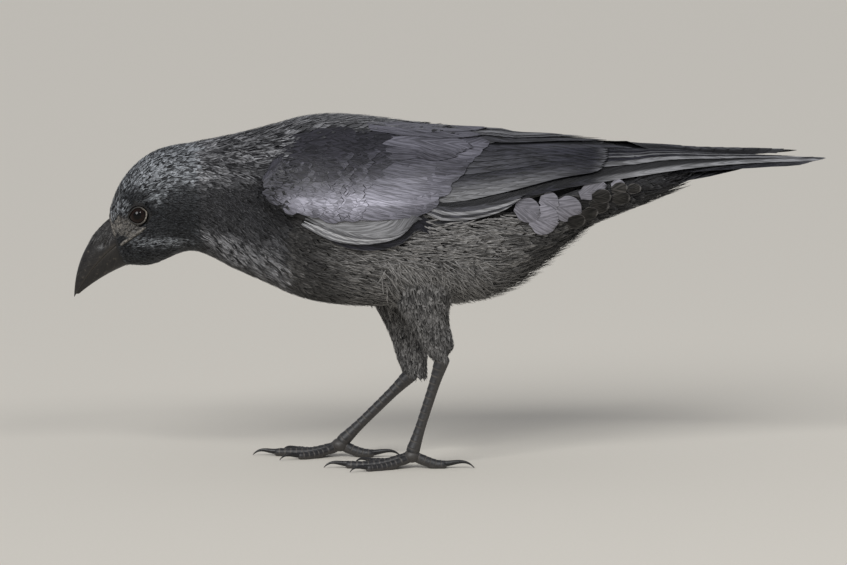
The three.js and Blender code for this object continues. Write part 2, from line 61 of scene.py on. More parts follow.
# %% Vectors, boxes and search trees
LEFT, RIGHT = -1, 1  # the bird's left side is towards -Y
SIDES = {"left": LEFT, "right": RIGHT}
NAMES = {LEFT: "left", RIGHT: "right"}


def unit(vectors):
    """Each vector divided by its own length."""
    return vectors / np.maximum(np.linalg.norm(vectors, axis=-1, keepdims=True), 1e-9)


def dot(a, b):
    """The scalar product of vectors, row by row."""
    return (a * b).sum(-1)


def box(node):
    """Lowest and highest corner of a solid, in millimetres."""
    low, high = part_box(node)
    return np.array(low) / MM, np.array(high) / MM


def points_of(node):
    """The corner points of a solid, in millimetres."""
    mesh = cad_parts[node].data
    flat = np.empty(3 * len(mesh.vertices))
    mesh.vertices.foreach_get("co", flat)
    return flat.reshape(-1, 3) / MM


def search_tree(*nodes):
    """One search tree over the triangles of some solids."""
    points, triangles, count = [], [], 0
    for node in nodes:
        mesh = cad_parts[node].data
        mesh.calc_loop_triangles()
        flat = np.empty(3 * len(mesh.loop_triangles), int)
        mesh.loop_triangles.foreach_get("vertices", flat)
        points.append(points_of(node))
        triangles.append(flat.reshape(-1, 3) + count)
        count += len(points[-1])
    return BVHTree.FromPolygons(np.concatenate(points).tolist(), np.concatenate(triangles).tolist())


def cast(tree, starts, ends):
    """Where lines drawn from starts towards ends first meet the solids, and not-a-number where they miss."""
    lines = zip(starts.reshape(-1, 3).tolist(), (ends - starts).reshape(-1, 3).tolist())
    hits = [tree.ray_cast(start, way)[0] for start, way in lines]
    missed = (np.nan,) * 3
    return np.array([tuple(hit) if hit else missed for hit in hits]).reshape(starts.shape)


def ramp(value, start, end):
    """0 before start, 1 after end, and an even smooth rise between them."""
    share = np.clip((value - start) / (end - start), 0, 1)
    return share * share * (3 - 2 * share)


def hill(*away):
    """1 where every distance away is 0, falling off smoothly: e to the power of minus the sum of their squares."""
    return np.exp(-sum(a**2 for a in away))


def full_turn(count):
    """Angles at even steps round a circle."""
    return 2 * np.pi * np.arange(count) / count


def circle(turned, up, aside, wide=1.0):
    """Directions at angles from up towards aside, with the aside part made wide times as long."""
    return np.cos(turned)[None, :, None] * up + (wide * np.sin(turned))[None, :, None] * aside


# %% A smooth surface with two parameters
def smoothed(grid, times, closed):
    """Every value moves half way to the mean of its two neighbours, first along, then across, times over."""
    grid = grid.copy()
    for _ in range(times):
        grid[1:-1] = grid[1:-1] / 2 + (grid[:-2] + grid[2:]) / 4
        if closed:
            grid = grid / 2 + (np.roll(grid, 1, 1) + np.roll(grid, -1, 1)) / 4
        else:
            grid[:, 1:-1] = grid[:, 1:-1] / 2 + (grid[:, :-2] + grid[:, 2:]) / 4
    return grid


def filled(grid, closed):
    """Cells that no line measured take the mean of those beside them, until none is left."""
    grid = grid.copy()
    while np.isnan(grid).any():
        wide = np.pad(grid, ((1, 1), (0, 0)), constant_values=np.nan)
        options = {"mode": "wrap"} if closed else {"constant_values": np.nan}
        broad = np.pad(grid, ((0, 0), (1, 1)), **options)
        near = np.stack([wide[:-2], wide[2:], broad[:, :-2], broad[:, 2:]])
        known = ~np.isnan(near)
        mean = np.where(known, near, 0).sum(0) / np.maximum(known.sum(0), 1)
        grid = np.where(np.isnan(grid) & known.any(0), mean, grid)
    return grid


class Surface:
    """A surface kept as a grid of points: u runs along it and v across or round it, both from 0 to 1.

    Between grid points it is the weighted mean of the nearest four, and past an open edge it runs straight on.
    """

    def __init__(self, points, closed, middle):
        rows, columns = points.shape[:2]
        self.points, self.closed, self.middle = points, closed, middle
        along = np.gradient(points, axis=0) * (rows - 1)
        if closed:
            across = (np.roll(points, -1, 1) - np.roll(points, 1, 1)) * columns / 2
        else:
            across = np.gradient(points, axis=1) * (columns - 1)
        normal = unit(np.cross(along, across))
        normal = normal * np.sign(dot(normal, points - middle).sum())
        self.fields = np.concatenate([points, normal, along, across], axis=-1)

    def at(self, u, v):
        """Point, outward normal, and the two directions in which u and v grow, at any u and v."""
        rows, columns = self.points.shape[:2]
        row = u * (rows - 1)
        i = np.clip(np.floor(row), 0, rows - 2).astype(int)
        a = (row - i)[..., None]
        column = (v % 1) * columns if self.closed else v * (columns - 1)
        top = columns - 1 if self.closed else columns - 2
        j = np.clip(np.floor(column), 0, top).astype(int)
        b = (column - j)[..., None]
        k = (j + 1) % columns
        f = self.fields
        value = (f[i, j] * (1 - b) + f[i, k] * b) * (1 - a) + (f[i + 1, j] * (1 - b) + f[i + 1, k] * b) * a
        return value[..., :3], unit(value[..., 3:6]), value[..., 6:9], value[..., 9:12]

    def nearest(self, x, z, side):
        """The u and v of the grid point closest to a place seen from the side."""
        p = self.points
        far = (p[..., 0] - x) ** 2 + (p[..., 2] - z) ** 2 + np.where(p[..., 1] * side > 0, 0, 1e6)
        i, j = np.unravel_index(np.argmin(far), far.shape)
        return i / (p.shape[0] - 1), j / (p.shape[1] - (0 if self.closed else 1))


def in_shares(step, along, across):
    """A step in the surface as shares of u and v: the two that together make it up."""
    e, f, g = dot(along, along), dot(along, across), dot(across, across)
    p, q = dot(step, along), dot(step, across)
    area = np.maximum(e * g - f * f, 1e-9)
    return (g * p - f * q) / area, (e * q - f * p) / area


# %% Measure the body
# The middle of the head, neck and trunk, from the bill's base to the tips of the tail's coverts: x, z, and
# how far the measuring ring leans back from upright, in degrees.
SPINE = np.array([
    (-195.2, 130.4, 15), (-183, 141, 18), (-167, 150.5, 14), (-148, 154.5, 9), (-124, 153.5, 2), (-90, 150.5, 0),
    (-42, 147, 0), (6, 143.5, 0), (54, 150, 0), (101, 164, 0), (135, 169.5, 0),
])
SPINE_ROUNDS = 300  # rounds of smoothing for its corners
RINGS, AROUND = 340, 168
REACH = 95  # measuring starts this far out
SLIPPED = 2  # a line that comes this near to the middle went through the gap between two solids


def even_path(rows, count):
    """Rows of numbers read at even steps of the distance along x and z, with their corners rounded."""
    walked = np.concatenate([[0], np.cumsum(np.hypot(*np.diff(rows[:, :2], axis=0).T))])
    steps = np.linspace(0, walked[-1], count)
    path = np.stack([np.interp(steps, walked, column) for column in rows.T], axis=1)
    return smoothed(path[:, None], SPINE_ROUNDS, False)[:, 0], walked[-1]


spine, SPINE_LENGTH = even_path(SPINE, RINGS)
lean = np.radians(spine[:, 2])
middles = np.stack([spine[:, 0], 0 * lean, spine[:, 1]], axis=1)[:, None]
upward = np.stack([-np.sin(lean), 0 * lean, np.cos(lean)], axis=1)[:, None]
spokes = circle(full_turn(AROUND), upward, np.array([0, 1, 0]))  # from the back over the right side to the belly


def measured_rings(nodes, times):
    """The outline of some solids on the rings: u along the bird, v round it from the back over its right."""
    far = middles + REACH * spokes
    radius = dot(cast(search_tree(*nodes), far, np.broadcast_to(middles, far.shape)) - middles, spokes)
    radius[radius < SLIPPED] = np.nan
    radius = smoothed(filled(radius, True), times, True)
    return Surface(middles + spokes * radius[..., None], True, middles)


FLESH = ["head", "neck", "trunk"]
WING_PARTS = ["wing", "secondaries", "primaries"]
body = measured_rings([*FLESH, "eye_left", "eye_right"], 4)
cloak = measured_rings(FLESH + [f"{part}_{name}" for part in WING_PARTS for name in SIDES], 9)
wing_rise = dot(cloak.points - body.points, spokes)  # how far the wings stand out from the body
wing_rise = np.maximum(wing_rise, np.roll(wing_rise[:, ::-1], 1, axis=1))  # the same on both sides
print("body", body.points.shape, "mm along", round(SPINE_LENGTH), "wings stand out mm", round(wing_rise.max()))


# %% Measure the wings and the tail
def trimmed(grid, columns):
    """A measured sheet cut to its outline: each row is read at even steps from its first hit to its last."""
    known = ~np.isnan(grid[..., 0])
    first, last = known.argmax(1), grid.shape[1] - 1 - known[:, ::-1].argmax(1)
    edges = smoothed(np.stack([first, last], axis=1).astype(float)[:, None], 20, False)[:, 0]
    whole = np.stack([filled(grid[..., c], False) for c in range(3)], axis=-1)
    place = edges[:, :1] + (edges[:, 1:] - edges[:, :1]) * np.linspace(0, 1, columns)
    j = np.clip(place.astype(int), 0, grid.shape[1] - 2)
    share = (place - j)[..., None]
    i = np.arange(len(grid))[:, None]
    return whole[i, j] * (1 - share) + whole[i, j + 1] * share


WING_ROWS, WING_COLUMNS = 320, 61
WING_ANGLES = np.radians(np.linspace(-20, 130, 220))  # from straight up, outwards
TIP_MARGIN = 0.4  # the last row of a wing is read this far in front of its tip
FOLD_FROM, FAR_TIP_RISE = 60.0, 1.6  # behind this x the far wing is shorter, and its tip higher


def measured_wing(name, side):
    """A folded wing's outer face: u from its bend to its tip, v from its upper edge down to its lower edge."""
    nodes = [f"{part}_{name}" for part in WING_PARTS]
    start, end = box(nodes[0])[0][0] + 2 * TIP_MARGIN, box(nodes[2])[1][0] - TIP_MARGIN
    x = np.linspace(start, end, WING_ROWS)
    middle = np.stack([x, 0 * x, np.interp(x, spine[:, 0], spine[:, 1]) - 2], axis=1)[:, None]
    out = np.stack([0 * WING_ANGLES, side * np.sin(WING_ANGLES), np.cos(WING_ANGLES)], axis=1)[None]
    far = middle + REACH * out
    sheet = trimmed(cast(search_tree(*nodes), far, np.broadcast_to(middle, far.shape)), WING_COLUMNS)
    return Surface(smoothed(sheet, 12, False), False, middle)


def far_wing(near):
    """The other wing: the mirror image, folded a little shorter, with its tip a little higher on the back."""
    end = near.points[-1, 0, 0]
    grid = near.points * (1, -1, 1)
    behind = np.clip((grid[..., 0] - FOLD_FROM) / (end - FOLD_FROM), 0, 1)
    grid = grid + behind[..., None] * (box("primaries_right")[1][0] - TIP_MARGIN - end, 0, FAR_TIP_RISE)
    return Surface(grid, False, near.middle * (1, -1, 1))


left_wing = measured_wing("left", LEFT)
wings = {"left": left_wing, "right": far_wing(left_wing)}

TAIL_LOW, TAIL_HIGH = box("tail")
tail_x = np.linspace(TAIL_LOW[0] + 0.5, TAIL_HIGH[0] - 0.3, 120)
tail_y = np.linspace(-1, 1, 121) * (TAIL_HIGH[1] + 0.5)
above = np.stack(np.meshgrid(tail_x, tail_y, [REACH * 3.0], indexing="ij"), axis=-1)[:, :, 0]
tail_sheet = trimmed(cast(search_tree("tail"), above, above * (1, 1, 0)), 41)
tail = Surface(smoothed(tail_sheet, 6, False), False, tail_sheet - (0, 0, 9))
for name, wing in wings.items():
    print(name, "wing from x", round(wing.points[0, 0, 0]), "to", round(wing.points[-1, 0, 0]))

# %% Measure the thighs
THIGH_ROWS, THIGH_AROUND = 70, 64
THIGH_REACH = 40
HIP_RISE = 20  # a thigh goes this far up inside the body
TOP_SLICE, HIDDEN_TOP = 12, 6  # how much of its top gives its middle, and how much of it isn't measured


def ends_of(node):
    """The middles of a long solid's upper and lower end, found along its longest direction."""
    p = points_of(node)
    axis = np.linalg.svd(p - p.mean(0))[2][0]
    place = (p - p.mean(0)) @ axis
    ends = [p[place < place.min() + 1].mean(0), p[place > place.max() - 1].mean(0)]
    return sorted(ends, key=lambda end: -end[2])


def measured_thigh(name):
    """A feathered thigh in level rings: u from inside the body down to the heel, v right round it."""
    highest = box(f"thigh_{name}")[1][2]
    heel = ends_of(f"shank_{name}")[0]
    corners = points_of(f"thigh_{name}")
    top = corners[corners[:, 2] > highest - TOP_SLICE].mean(0)
    share = np.linspace(0, 1, THIGH_ROWS)[:, None]
    hip = np.array([top[0], top[1], highest + HIP_RISE])
    middle = (hip + (heel - hip) * share)[:, None]
    out = circle(full_turn(THIGH_AROUND), np.array([-1, 0, 0]), np.array([0, 1, 0]))
    far = middle + THIGH_REACH * out
    hits = cast(search_tree(f"thigh_{name}"), far, np.broadcast_to(middle, far.shape))
    radius = dot(hits - middle, out)
    radius[(radius < SLIPPED * 0.75) | (middle[..., 2] > highest - HIDDEN_TOP)] = np.nan
    radius = smoothed(filled(radius, True), 6, True)
    return Surface(middle + out * radius[..., None], True, middle)


thighs = {name: measured_thigh(name) for name in SIDES}
print("thighs", {name: [round(c) for c in thigh.points[-1].mean(0)] for name, thigh in thighs.items()})

# %% [markdown]
# ## From numbers to pieces
#
# One function puts arrays into a mesh, gives it its material, and for a part of the bird hangs it from the
# body's root and hides the solids that it replaces. All the finished pieces sit at the origin with their
# place in their mesh, like the solids.

# %% Make a piece from arrays
def linear(code):
    """A colour written as sRGB hex, turned to linear light with full opacity."""
    parts = [int(code[i : i + 2], 16) / 255 for i in (1, 3, 5)]
    return [c / 12.92 if c <= 0.04045 else ((c + 0.055) / 1.055) ** 2.4 for c in parts] + [1.0]


def piece(name, material, shape, slot=None, replaces=()):
    """A mesh from a shape, which is a dictionary of arrays.

    points are in millimetres, and faces have three or four corners each. uvs maps a name to two numbers for
    each point, and values maps a name to one number for each point. rim tells which points lie on a sharp
    edge, so that the two sides of a thin leaf don't share their shading.
    """
    mesh, points, faces = bpy.data.meshes.new(name), shape["points"], shape["faces"]
    mesh.vertices.add(len(points))
    mesh.vertices.foreach_set("co", (points * MM).astype(np.float32).ravel())
    mesh.loops.add(faces.size)
    mesh.loops.foreach_set("vertex_index", faces.astype(np.int32).ravel())
    mesh.polygons.add(len(faces))
    mesh.polygons.foreach_set("loop_start", np.arange(0, faces.size, faces.shape[1], dtype=np.int32))
    mesh.update(calc_edges=True)
    mesh.polygons.foreach_set("use_smooth", np.full(len(faces), True))
    if "rim" in shape:
        ends = np.empty(2 * len(mesh.edges), int)
        mesh.edges.foreach_get("vertices", ends)
        sharp = mesh.attributes.new("sharp_edge", "BOOLEAN", "EDGE")
        sharp.data.foreach_set("value", shape["rim"][ends].reshape(-1, 2).all(1))
    for uv_name, uv in shape.get("uvs", {}).items():
        layer = mesh.uv_layers.new(name=uv_name)
        layer.data.foreach_set("uv", uv[faces.ravel()].astype(np.float32).ravel())
    for value_name, value in shape.get("values", {}).items():
        layer = mesh.attributes.new(value_name, "FLOAT", "POINT")
        layer.data.foreach_set("value", value.astype(np.float32))
    mesh.materials.append(material)
    thing = bpy.data.objects.new(name, mesh)
    bpy.context.scene.collection.objects.link(thing)
    if slot:
        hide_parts(*replaces)
        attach(thing, "root")
    return thing


def joined(shapes):
    """Several shapes as one, with their arrays one after another."""
    counts = np.cumsum([0] + [len(shape["points"]) for shape in shapes])
    whole = {"faces": np.concatenate([shape["faces"] + count for shape, count in zip(shapes, counts)])}
    for key in [key for key in shapes[0] if key != "faces"]:
        parts = [shape[key] for shape in shapes]
        if key in ("uvs", "values"):
            whole[key] = {name: np.concatenate([part[name] for part in parts]) for name in parts[0]}
        else:
            whole[key] = np.concatenate(parts)
    return whole


def tube(grid, ends=(0, 0), **values):
    """A closed tube: rings of points joined row to row, with a middle point at each end.

    Each value has a number for each point of the grid, and the two end points have the numbers in ends.
    """
    rows, columns = grid.shape[:2]
    index = np.arange(rows * columns).reshape(rows, columns)
    a, b = index[:-1], index[1:]
    sides = np.stack([a, np.roll(a, -1, 1), np.roll(b, -1, 1), b], axis=-1).reshape(-1, 4)
    first, last = np.full((2, columns), rows * columns) + [[0], [1]]
    start = np.stack([index[0], first, first, np.roll(index[0], -1)], axis=-1)
    end = np.stack([index[-1], np.roll(index[-1], -1), last, last], axis=-1)
    points = np.concatenate([grid.reshape(-1, 3), grid[:1].mean(1), grid[-1:].mean(1)])
    corners = np.concatenate([sides, start, end])
    triangles = np.concatenate([corners[:, [0, 1, 2]], corners[:, [0, 2, 3]]])
    triangles = triangles[(np.roll(triangles, 1, 1) != triangles).all(1)]
    p, q, r = (points[triangles[:, k]] for k in range(3))
    if dot(p, np.cross(q, r)).sum() < 0:
        triangles = triangles[:, ::-1]
    values = {name: np.concatenate([value.reshape(-1), ends]) for name, value in values.items()}
    return {"points": points, "faces": triangles, "values": values}


# %% [markdown]
# ## Materials
#
# A feather is keratin, the stuff of fingernails, split into barbs that leave the shaft at a slant. Black
# ones are coloured by melanin, and the thin clear layer over it gives crows a violet and steel-blue gloss
# where the light glances. So one recipe makes all the plumage: dark colour, streaks along the barbs, a paler
# worn rim, a painted sheen that makes feathers paler where that gloss would catch the light, and a shader
# gloss that differs between the silky wing and the loose belly.

# %% A material and its nodes
class Look:
    """A material with one Principled shader, and short ways to add nodes to it.

    Constants are set on the shader's own sockets. Every method gives back the output that other nodes read.
    """

    def __init__(self, name, **surface):
        self.material = bpy.data.materials.new(name)
        self.material.use_nodes = True
        self.tree = self.material.node_tree
        self.shader = self.tree.nodes["Principled BSDF"]
        for key, value in surface.items():
            self.shader.inputs[key.replace("_", " ").title().replace("Ior", "IOR")].default_value = value

    def add(self, kind, links=(), output=0, **settings):
        """A node with its properties set, and its inputs filled from values or from other nodes' outputs."""
        node = self.tree.nodes.new(kind)
        for key, value in settings.items():
            setattr(node, key, value)
        for key, value in dict(links).items():
            if isinstance(value, bpy.types.NodeSocket):
                self.tree.links.new(value, node.inputs[key])
            else:
                node.inputs[key].default_value = value
        return node.outputs[output]

    def calculate(self, operation, a, b=0.0, c=0.0):
        """One sum on numbers."""
        return self.add("ShaderNodeMath", {0: a, 1: b, 2: c}, operation=operation)

    def blended(self, share, a, b, kind="MIX"):
        """Colour a, going over to colour b."""
        links = {0: share, 6: linear(a) if isinstance(a, str) else a, 7: linear(b) if isinstance(b, str) else b}
        return self.add("ShaderNodeMix", links, 2, data_type="RGBA", blend_type=kind)

    def stepped(self, value, low, high):
        """A number carried from low..high to 0..1."""
        links = {0: value, 1: low, 2: high, 3: 0.0, 4: 1.0}
        return self.add("ShaderNodeMapRange", links, interpolation_type="SMOOTHSTEP")

    def attribute(self, name):
        """The number that piece() stored under this name at each point."""
        return self.add("ShaderNodeAttribute", output="Fac", attribute_name=name)

    def place(self):
        """The place in the piece, in metres."""
        return self.add("ShaderNodeTexCoord", output="Object")

    def noise(self, vector, scale, detail, rough=0.5):
        """Soft random patches, about one over scale across."""
        links = {"Vector": vector, "Scale": scale, "Detail": detail, "Roughness": rough}
        return self.add("ShaderNodeTexNoise", links)

    def paint(self, share, a, b):
        """The base colour: a, going over to b."""
        self.tree.links.new(self.blended(share, a, b), self.shader.inputs["Base Color"])

    def raised(self, height, distance_mm):
        """Bump from a height."""
        bump = self.add("ShaderNodeBump", {"Height": height, "Distance": distance_mm * MM, "Strength": 1.0})
        self.tree.links.new(bump, self.shader.inputs["Normal"])


# %% Feather keratin
STREAK_SHIFT = 40.0  # a feather's random tone times this is where in the noise it reads its streaks
DARK_VANE = "#09090b"


def feather_keratin(name, dark, light, rim, barb_mm, slant, bump_mm, rim_share, rim_from=0.75, tones=(0.45, 1.6),
                    **surface):
    """Plumage: barbs as slanting streaks between dark and light, a shaft, a worn rim and a shade of its own.

    The vane map holds millimetres out from the shaft and along it, so the barbs keep their slant: they run
    slant times further along than out. They are drawn about three times coarser than the real ones, which
    are a third of a millimetre apart, because those would melt into a flat grey. tones are the darkest and
    the palest shade that a feather or a patch of coat can have. The attribute pale is a painted sheen: it
    makes the feather go over to the rim colour, most along its streaks, where the gloss would catch the light.
    """
    look = Look(name, **surface)
    sums = look.calculate
    aside = look.add("ShaderNodeSeparateXYZ", {0: look.add("ShaderNodeUVMap", uv_map="vane")})
    out, along = sums("ABSOLUTE", aside), aside.node.outputs[1]
    barb = sums("MULTIPLY_ADD", out, -slant, along)
    tone = look.attribute("tone")
    pitch = barb_mm * (1 + slant**2) ** 0.5
    streaks_at = {0: sums("DIVIDE", barb, pitch), 1: sums("MULTIPLY", out, 0.2 / barb_mm),
                  2: sums("MULTIPLY", tone, STREAK_SHIFT)}
    lines = look.noise(look.add("ShaderNodeCombineXYZ", streaks_at), 1.0, 3.0, 0.65)
    streak = look.stepped(lines, 0.36, 0.66)
    patch = look.stepped(look.noise(look.place(), 55.0, 3.0, 0.6), 0.3, 0.7)  # patches about 18 mm across
    shade = sums("MULTIPLY_ADD", tone, 0.6, sums("MULTIPLY", patch, 0.4))
    dimmest, palest = ((grey, grey, grey, 1) for grey in tones)
    toned = look.blended(1.0, look.blended(streak, dark, light), look.blended(shade, dimmest, palest), "MULTIPLY")
    edge = sums("MAXIMUM", look.stepped(look.attribute("along"), 0.84, 1.0),
                look.stepped(look.attribute("across"), rim_from, 1.05))
    worn = sums("MULTIPLY", sums("MULTIPLY", edge, sums("MULTIPLY_ADD", streak, 0.8, 0.3)), rim_share)
    # Painted sheen: the attribute pale makes the feather paler, most along its streaks, in place of light on its
    # gloss.
    glossy = sums("MULTIPLY", look.attribute("pale"), sums("MULTIPLY_ADD", streak, 0.6, 0.4))
    dark_vane = sums("MULTIPLY", look.stepped(look.attribute("inner"), 0.02, 0.3), 0.92)
    look.paint(dark_vane, look.blended(sums("MAXIMUM", worn, glossy), toned, rim), DARK_VANE)
    look.raised(sums("MULTIPLY_ADD", look.stepped(out, 0.5, 0.1), 0.7, streak), bump_mm)
    return look.material


# Each plumage's third colour is that of its worn rim, and also the pale colour that its painted sheen goes over to.
HEAD_FEATHER = feather_keratin(
    "glossy black head feather keratin", "#040405", "#1d1f22", "#a9adb2", 0.8, 2.0, 0.14, 0.14,
    roughness=0.4, specular_ior_level=0.2,
)
HACKLE = feather_keratin(
    "glossy black hackle keratin", "#050506", "#1f1f22", "#a6a6a9", 0.8, 2.5, 0.16, 0.2,
    roughness=0.42, specular_ior_level=0.2,
)
BODY_FEATHER = feather_keratin(
    "soft brownish black body feather keratin", "#0e0e0e", "#2f2e2e", "#969492", 0.9, 2.2, 0.14, 0.3,
    roughness=0.6, specular_ior_level=0.15, sheen_weight=0.06, sheen_roughness=0.5,
)
WING_SILK = feather_keratin(
    "silky violet black covert keratin", "#151519", "#35343d", "#c3c1cf", 0.7, 4.0, 0.05, 0.1, 0.9, (0.85, 1.15),
    roughness=0.42, specular_ior_level=0.3, sheen_weight=0.08, sheen_roughness=0.4,
)
SHOULDER_SILK = feather_keratin(
    "soft violet black shoulder feather keratin", "#0b0b0e", "#27262d", "#aeacb9", 0.8, 3.5, 0.06, 0.06, 0.9,
    (0.8, 1.15), roughness=0.45, specular_ior_level=0.22,
)
QUILL = feather_keratin(
    "satin violet black flight feather keratin", "#070709", "#292932", "#bcbcbe", 0.8, 4.5, 0.08, 0.16, 0.86,
    (0.6, 1.4), roughness=0.42, specular_ior_level=0.22,
)
# The round rump feathers are painted grey, and the small undertail ones get wide pale edges, as painted sheen.
RUMP_FEATHER = feather_keratin(
    "grey rump feather keratin with painted sheen", "#55545a", "#7f7d86", "#b8b5b8", 0.7, 3.0, 0.06, 0.2, 0.9, (0.65, 1.2),
    roughness=0.5, specular_ior_level=0.2,
)
SCALLOP = feather_keratin(
    "black undertail feather keratin with pale painted sheen", "#121211", "#373533", "#8b8886", 0.8, 3.0, 0.06, 0.6, 0.86,
    roughness=0.5, specular_ior_level=0.15,
)
print("feather materials", len(bpy.data.materials))

# %% Skin, horn, scales and eyes
def bare_skin(name, covered, low, high, scale, detail, rough, bump_mm, **surface):
    """Skin of the covered colour, and of a grain between low and high where the attribute bare is 1."""
    look = Look(name, **surface)
    grain = look.noise(look.place(), scale, detail, rough)
    look.paint(look.attribute("bare"), covered, look.blended(look.stepped(grain, 0.35, 0.7), low, high))
    look.raised(grain, bump_mm)
    return look.material


HORN_ROUGHNESS = 0.32


def horn(name, dark, light, worn):
    """Bill and claw horn: grown in long fibres, so faint streaks run to the tip, with scuffs that catch light."""
    look = Look(name, roughness=HORN_ROUGHNESS, specular_ior_level=0.4)
    fibre = look.add("ShaderNodeUVMap", uv_map="horn")
    lines = look.noise(look.add("ShaderNodeMapping", {0: fibre, "Scale": (0.12, 1.6, 1.0)}), 1.4, 5.0, 0.65)
    scuffs = look.noise(look.place(), 420.0, 5.0, 0.7)  # scuffs of 2 mm and less
    base = look.blended(look.stepped(lines, 0.3, 0.75), dark, light)
    scuffed = look.calculate("MULTIPLY", look.stepped(scuffs, 0.56, 0.72), 0.35)
    look.paint(look.calculate("MAXIMUM", look.attribute("worn"), scuffed), base, worn)
    smoothest, roughest = HORN_ROUGHNESS - 0.1, HORN_ROUGHNESS + 0.16
    dull = look.add("ShaderNodeMapRange", {0: scuffs, 1: 0.3, 2: 0.75, 3: smoothest, 4: roughest})
    look.tree.links.new(dull, look.shader.inputs["Roughness"])
    look.raised(look.calculate("ADD", lines, scuffs), 0.12)
    return look.material


def scaly_skin():
    """Leg scales: black plates of horn with dusty grey joints between them."""
    look = Look("black scaly leg skin", roughness=0.5, specular_ior_level=0.5)
    grain = look.noise(look.place(), 700.0, 4.0, 0.6)
    look.paint(look.attribute("joint"), look.blended(look.stepped(grain, 0.3, 0.75), "#151517", "#2f2e2f"), "#57524c")
    look.raised(grain, 0.15)
    return look.material


def eyeball_look():
    """A wet eyeball: black pupil, dark brown iris with faint rays, dark rim. Its clear coat is the tear film."""
    look = Look("wet dark brown eye", roughness=0.12, specular_ior_level=0.08, coat_weight=1.0, coat_roughness=0.02,
                coat_ior=1.22)
    ring = look.attribute("ring")
    rays = look.stepped(look.noise(look.place(), 1500.0, 2.0), 0.35, 0.65)
    inner = look.blended(look.stepped(ring, 0.46, 0.52), "#020202", look.blended(rays, "#080403", "#1d0f0a"))
    look.paint(look.stepped(ring, 0.86, 0.98), inner, "#0a0706")
    return look.material


# Down under the feathers is nearly black, and the bare face is grey brown with wrinkles about 1 mm apart.
SKIN_UNDER = bare_skin(
    "grey brown bird skin and down", "#141313", "#2a2826", "#86817a", 900.0, 4.0, 0.65, 0.5, roughness=0.7,
)
BILL_HORN = horn("satin dark grey bill horn", "#09090a", "#292624", "#7d7468")
CLAW_HORN = horn("polished black claw horn", "#101011", "#232223", "#4a4642")
SCALES = scaly_skin()
EYE_LOOK = eyeball_look()
# The naked rim of a crow's lids is thin grey skin in fine pleats.
LID_SKIN = bare_skin(
    "pale grey eyelid skin", "#131211", "#3f3b37", "#8d867b", 1600.0, 3.0, 0.5, 0.2,
    roughness=0.5, specular_ior_level=0.3,
)
print("materials", len(bpy.data.materials))

# %% [markdown]
# ## The skin
#
# Under its feathers a crow is much slimmer than it looks. The skin here is the measured outline shrunk by
# the coat's depth: about a millimetre on the face, and several on the body. The trunk, both thighs and both
# folded wing arms are closed shells, and a boolean union makes one skin of them, so no seam shows wherever
# feathers part. It is bare only on the face, where it gets an eye socket, a brow and folds.

# %% Where things are on the face
EYES = {name: (box(f"eye_{name}")[0] + box(f"eye_{name}")[1]) / 2 for name in SIDES}
EYE_RADIUS = float((box("eye_left")[1] - box("eye_left")[0])[0] / 2)
BILL_TIP = np.array([box("bill_upper")[0][0], 0, box("bill_upper")[0][2]])
GAPE = BILL_TIP + (36.5, 0, 39.5)  # the corner of the mouth


def bare_face(points):
    """How bare the skin is, from 0 to 1: the lores, between the eye, the bill and the corner of the mouth."""
    eye = EYES["left"] * (1, 0, 1)
    flat = points * (1, 0, 1)
    corners = [eye + (-3, 0, -2), GAPE + (1, 0, 2), BILL_TIP + (20, 0, 35), BILL_TIP + (21, 0, 45)]
    middle = sum(corners) / 4
    reach = 11 + 2 * np.cos(np.arctan2(flat[..., 2] - middle[2], flat[..., 0] - middle[0]) * 2 + 0.6)
    far = np.linalg.norm((flat - middle) * (1, 0, 1.15), axis=-1)
    return np.maximum(1 - ramp(far, reach - 4.5, reach - 1), 1 - ramp(from_fold(points), 0.7, 1.3))


def from_fold(points):
    """How far points are, seen from the side, from the fold that runs back from the corner of the mouth."""
    start, end = GAPE + (-8.5, 0, -6.8), GAPE + (4.5, 0, 3.2)
    way = end - start
    share = np.clip(((points - start) * (1, 0, 1)) @ way / (way @ way), 0, 1)
    return np.linalg.norm((points - start) * (1, 0, 1) - share[..., None] * way, axis=-1)


def bump(points, centre, width, height):
    """A round swelling of the given height, or a hollow if it is negative."""
    return height * hill(np.linalg.norm(points - centre, axis=-1) / width)


def from_eyes(points):
    """How far points are from the middle of the nearer eye."""
    return np.min([np.linalg.norm(points - eye, axis=1) for eye in EYES.values()], axis=0)


def depth_of_coat(x):
    """How far the skin lies inside the outline, by the place along the bird."""
    return np.interp(x, (-198, -185, -160, -130, -100, -50, 60, 110, 140), (0.4, 1.1, 1.4, 2.2, 3.2, 4.5, 5, 6, 6))


def skin_shell():
    """The body's grid moved in by the coat's depth, with sockets, brows, cheeks and the folds of the mouth."""
    p, normal = body.points, body.fields[..., 3:6]
    shift = -depth_of_coat(p[..., 0])
    for name, eye in EYES.items():
        side = SIDES[name]
        shift = shift + bump(p, eye + (0, side * 5, 0), 5.5, -3.2)
        shift = shift + bump(p, eye + (-1, side * 3, 7.5), 4.5, 0.9)  # brow
        shift = shift + bump(p, eye + (-9, side * 1, -7), 5.0, -0.8)  # hollow of the lores
        shift = shift + bump(p, eye + (6, side * 3, -9), 7.0, 0.6)  # cheek
    beside, away = ramp(np.abs(p[..., 1]), 5, 8), from_fold(p)
    fold, groove = 1.9 * hill(away / 0.9), 0.5 * hill((away - 2.2) / 0.7)
    return p + normal * (shift + beside * (fold - groove))[..., None]


THIGH_COAT, ARM_COAT = 1.6, 2.6  # how far skin lies inside the thigh's outline, and inside the wing's


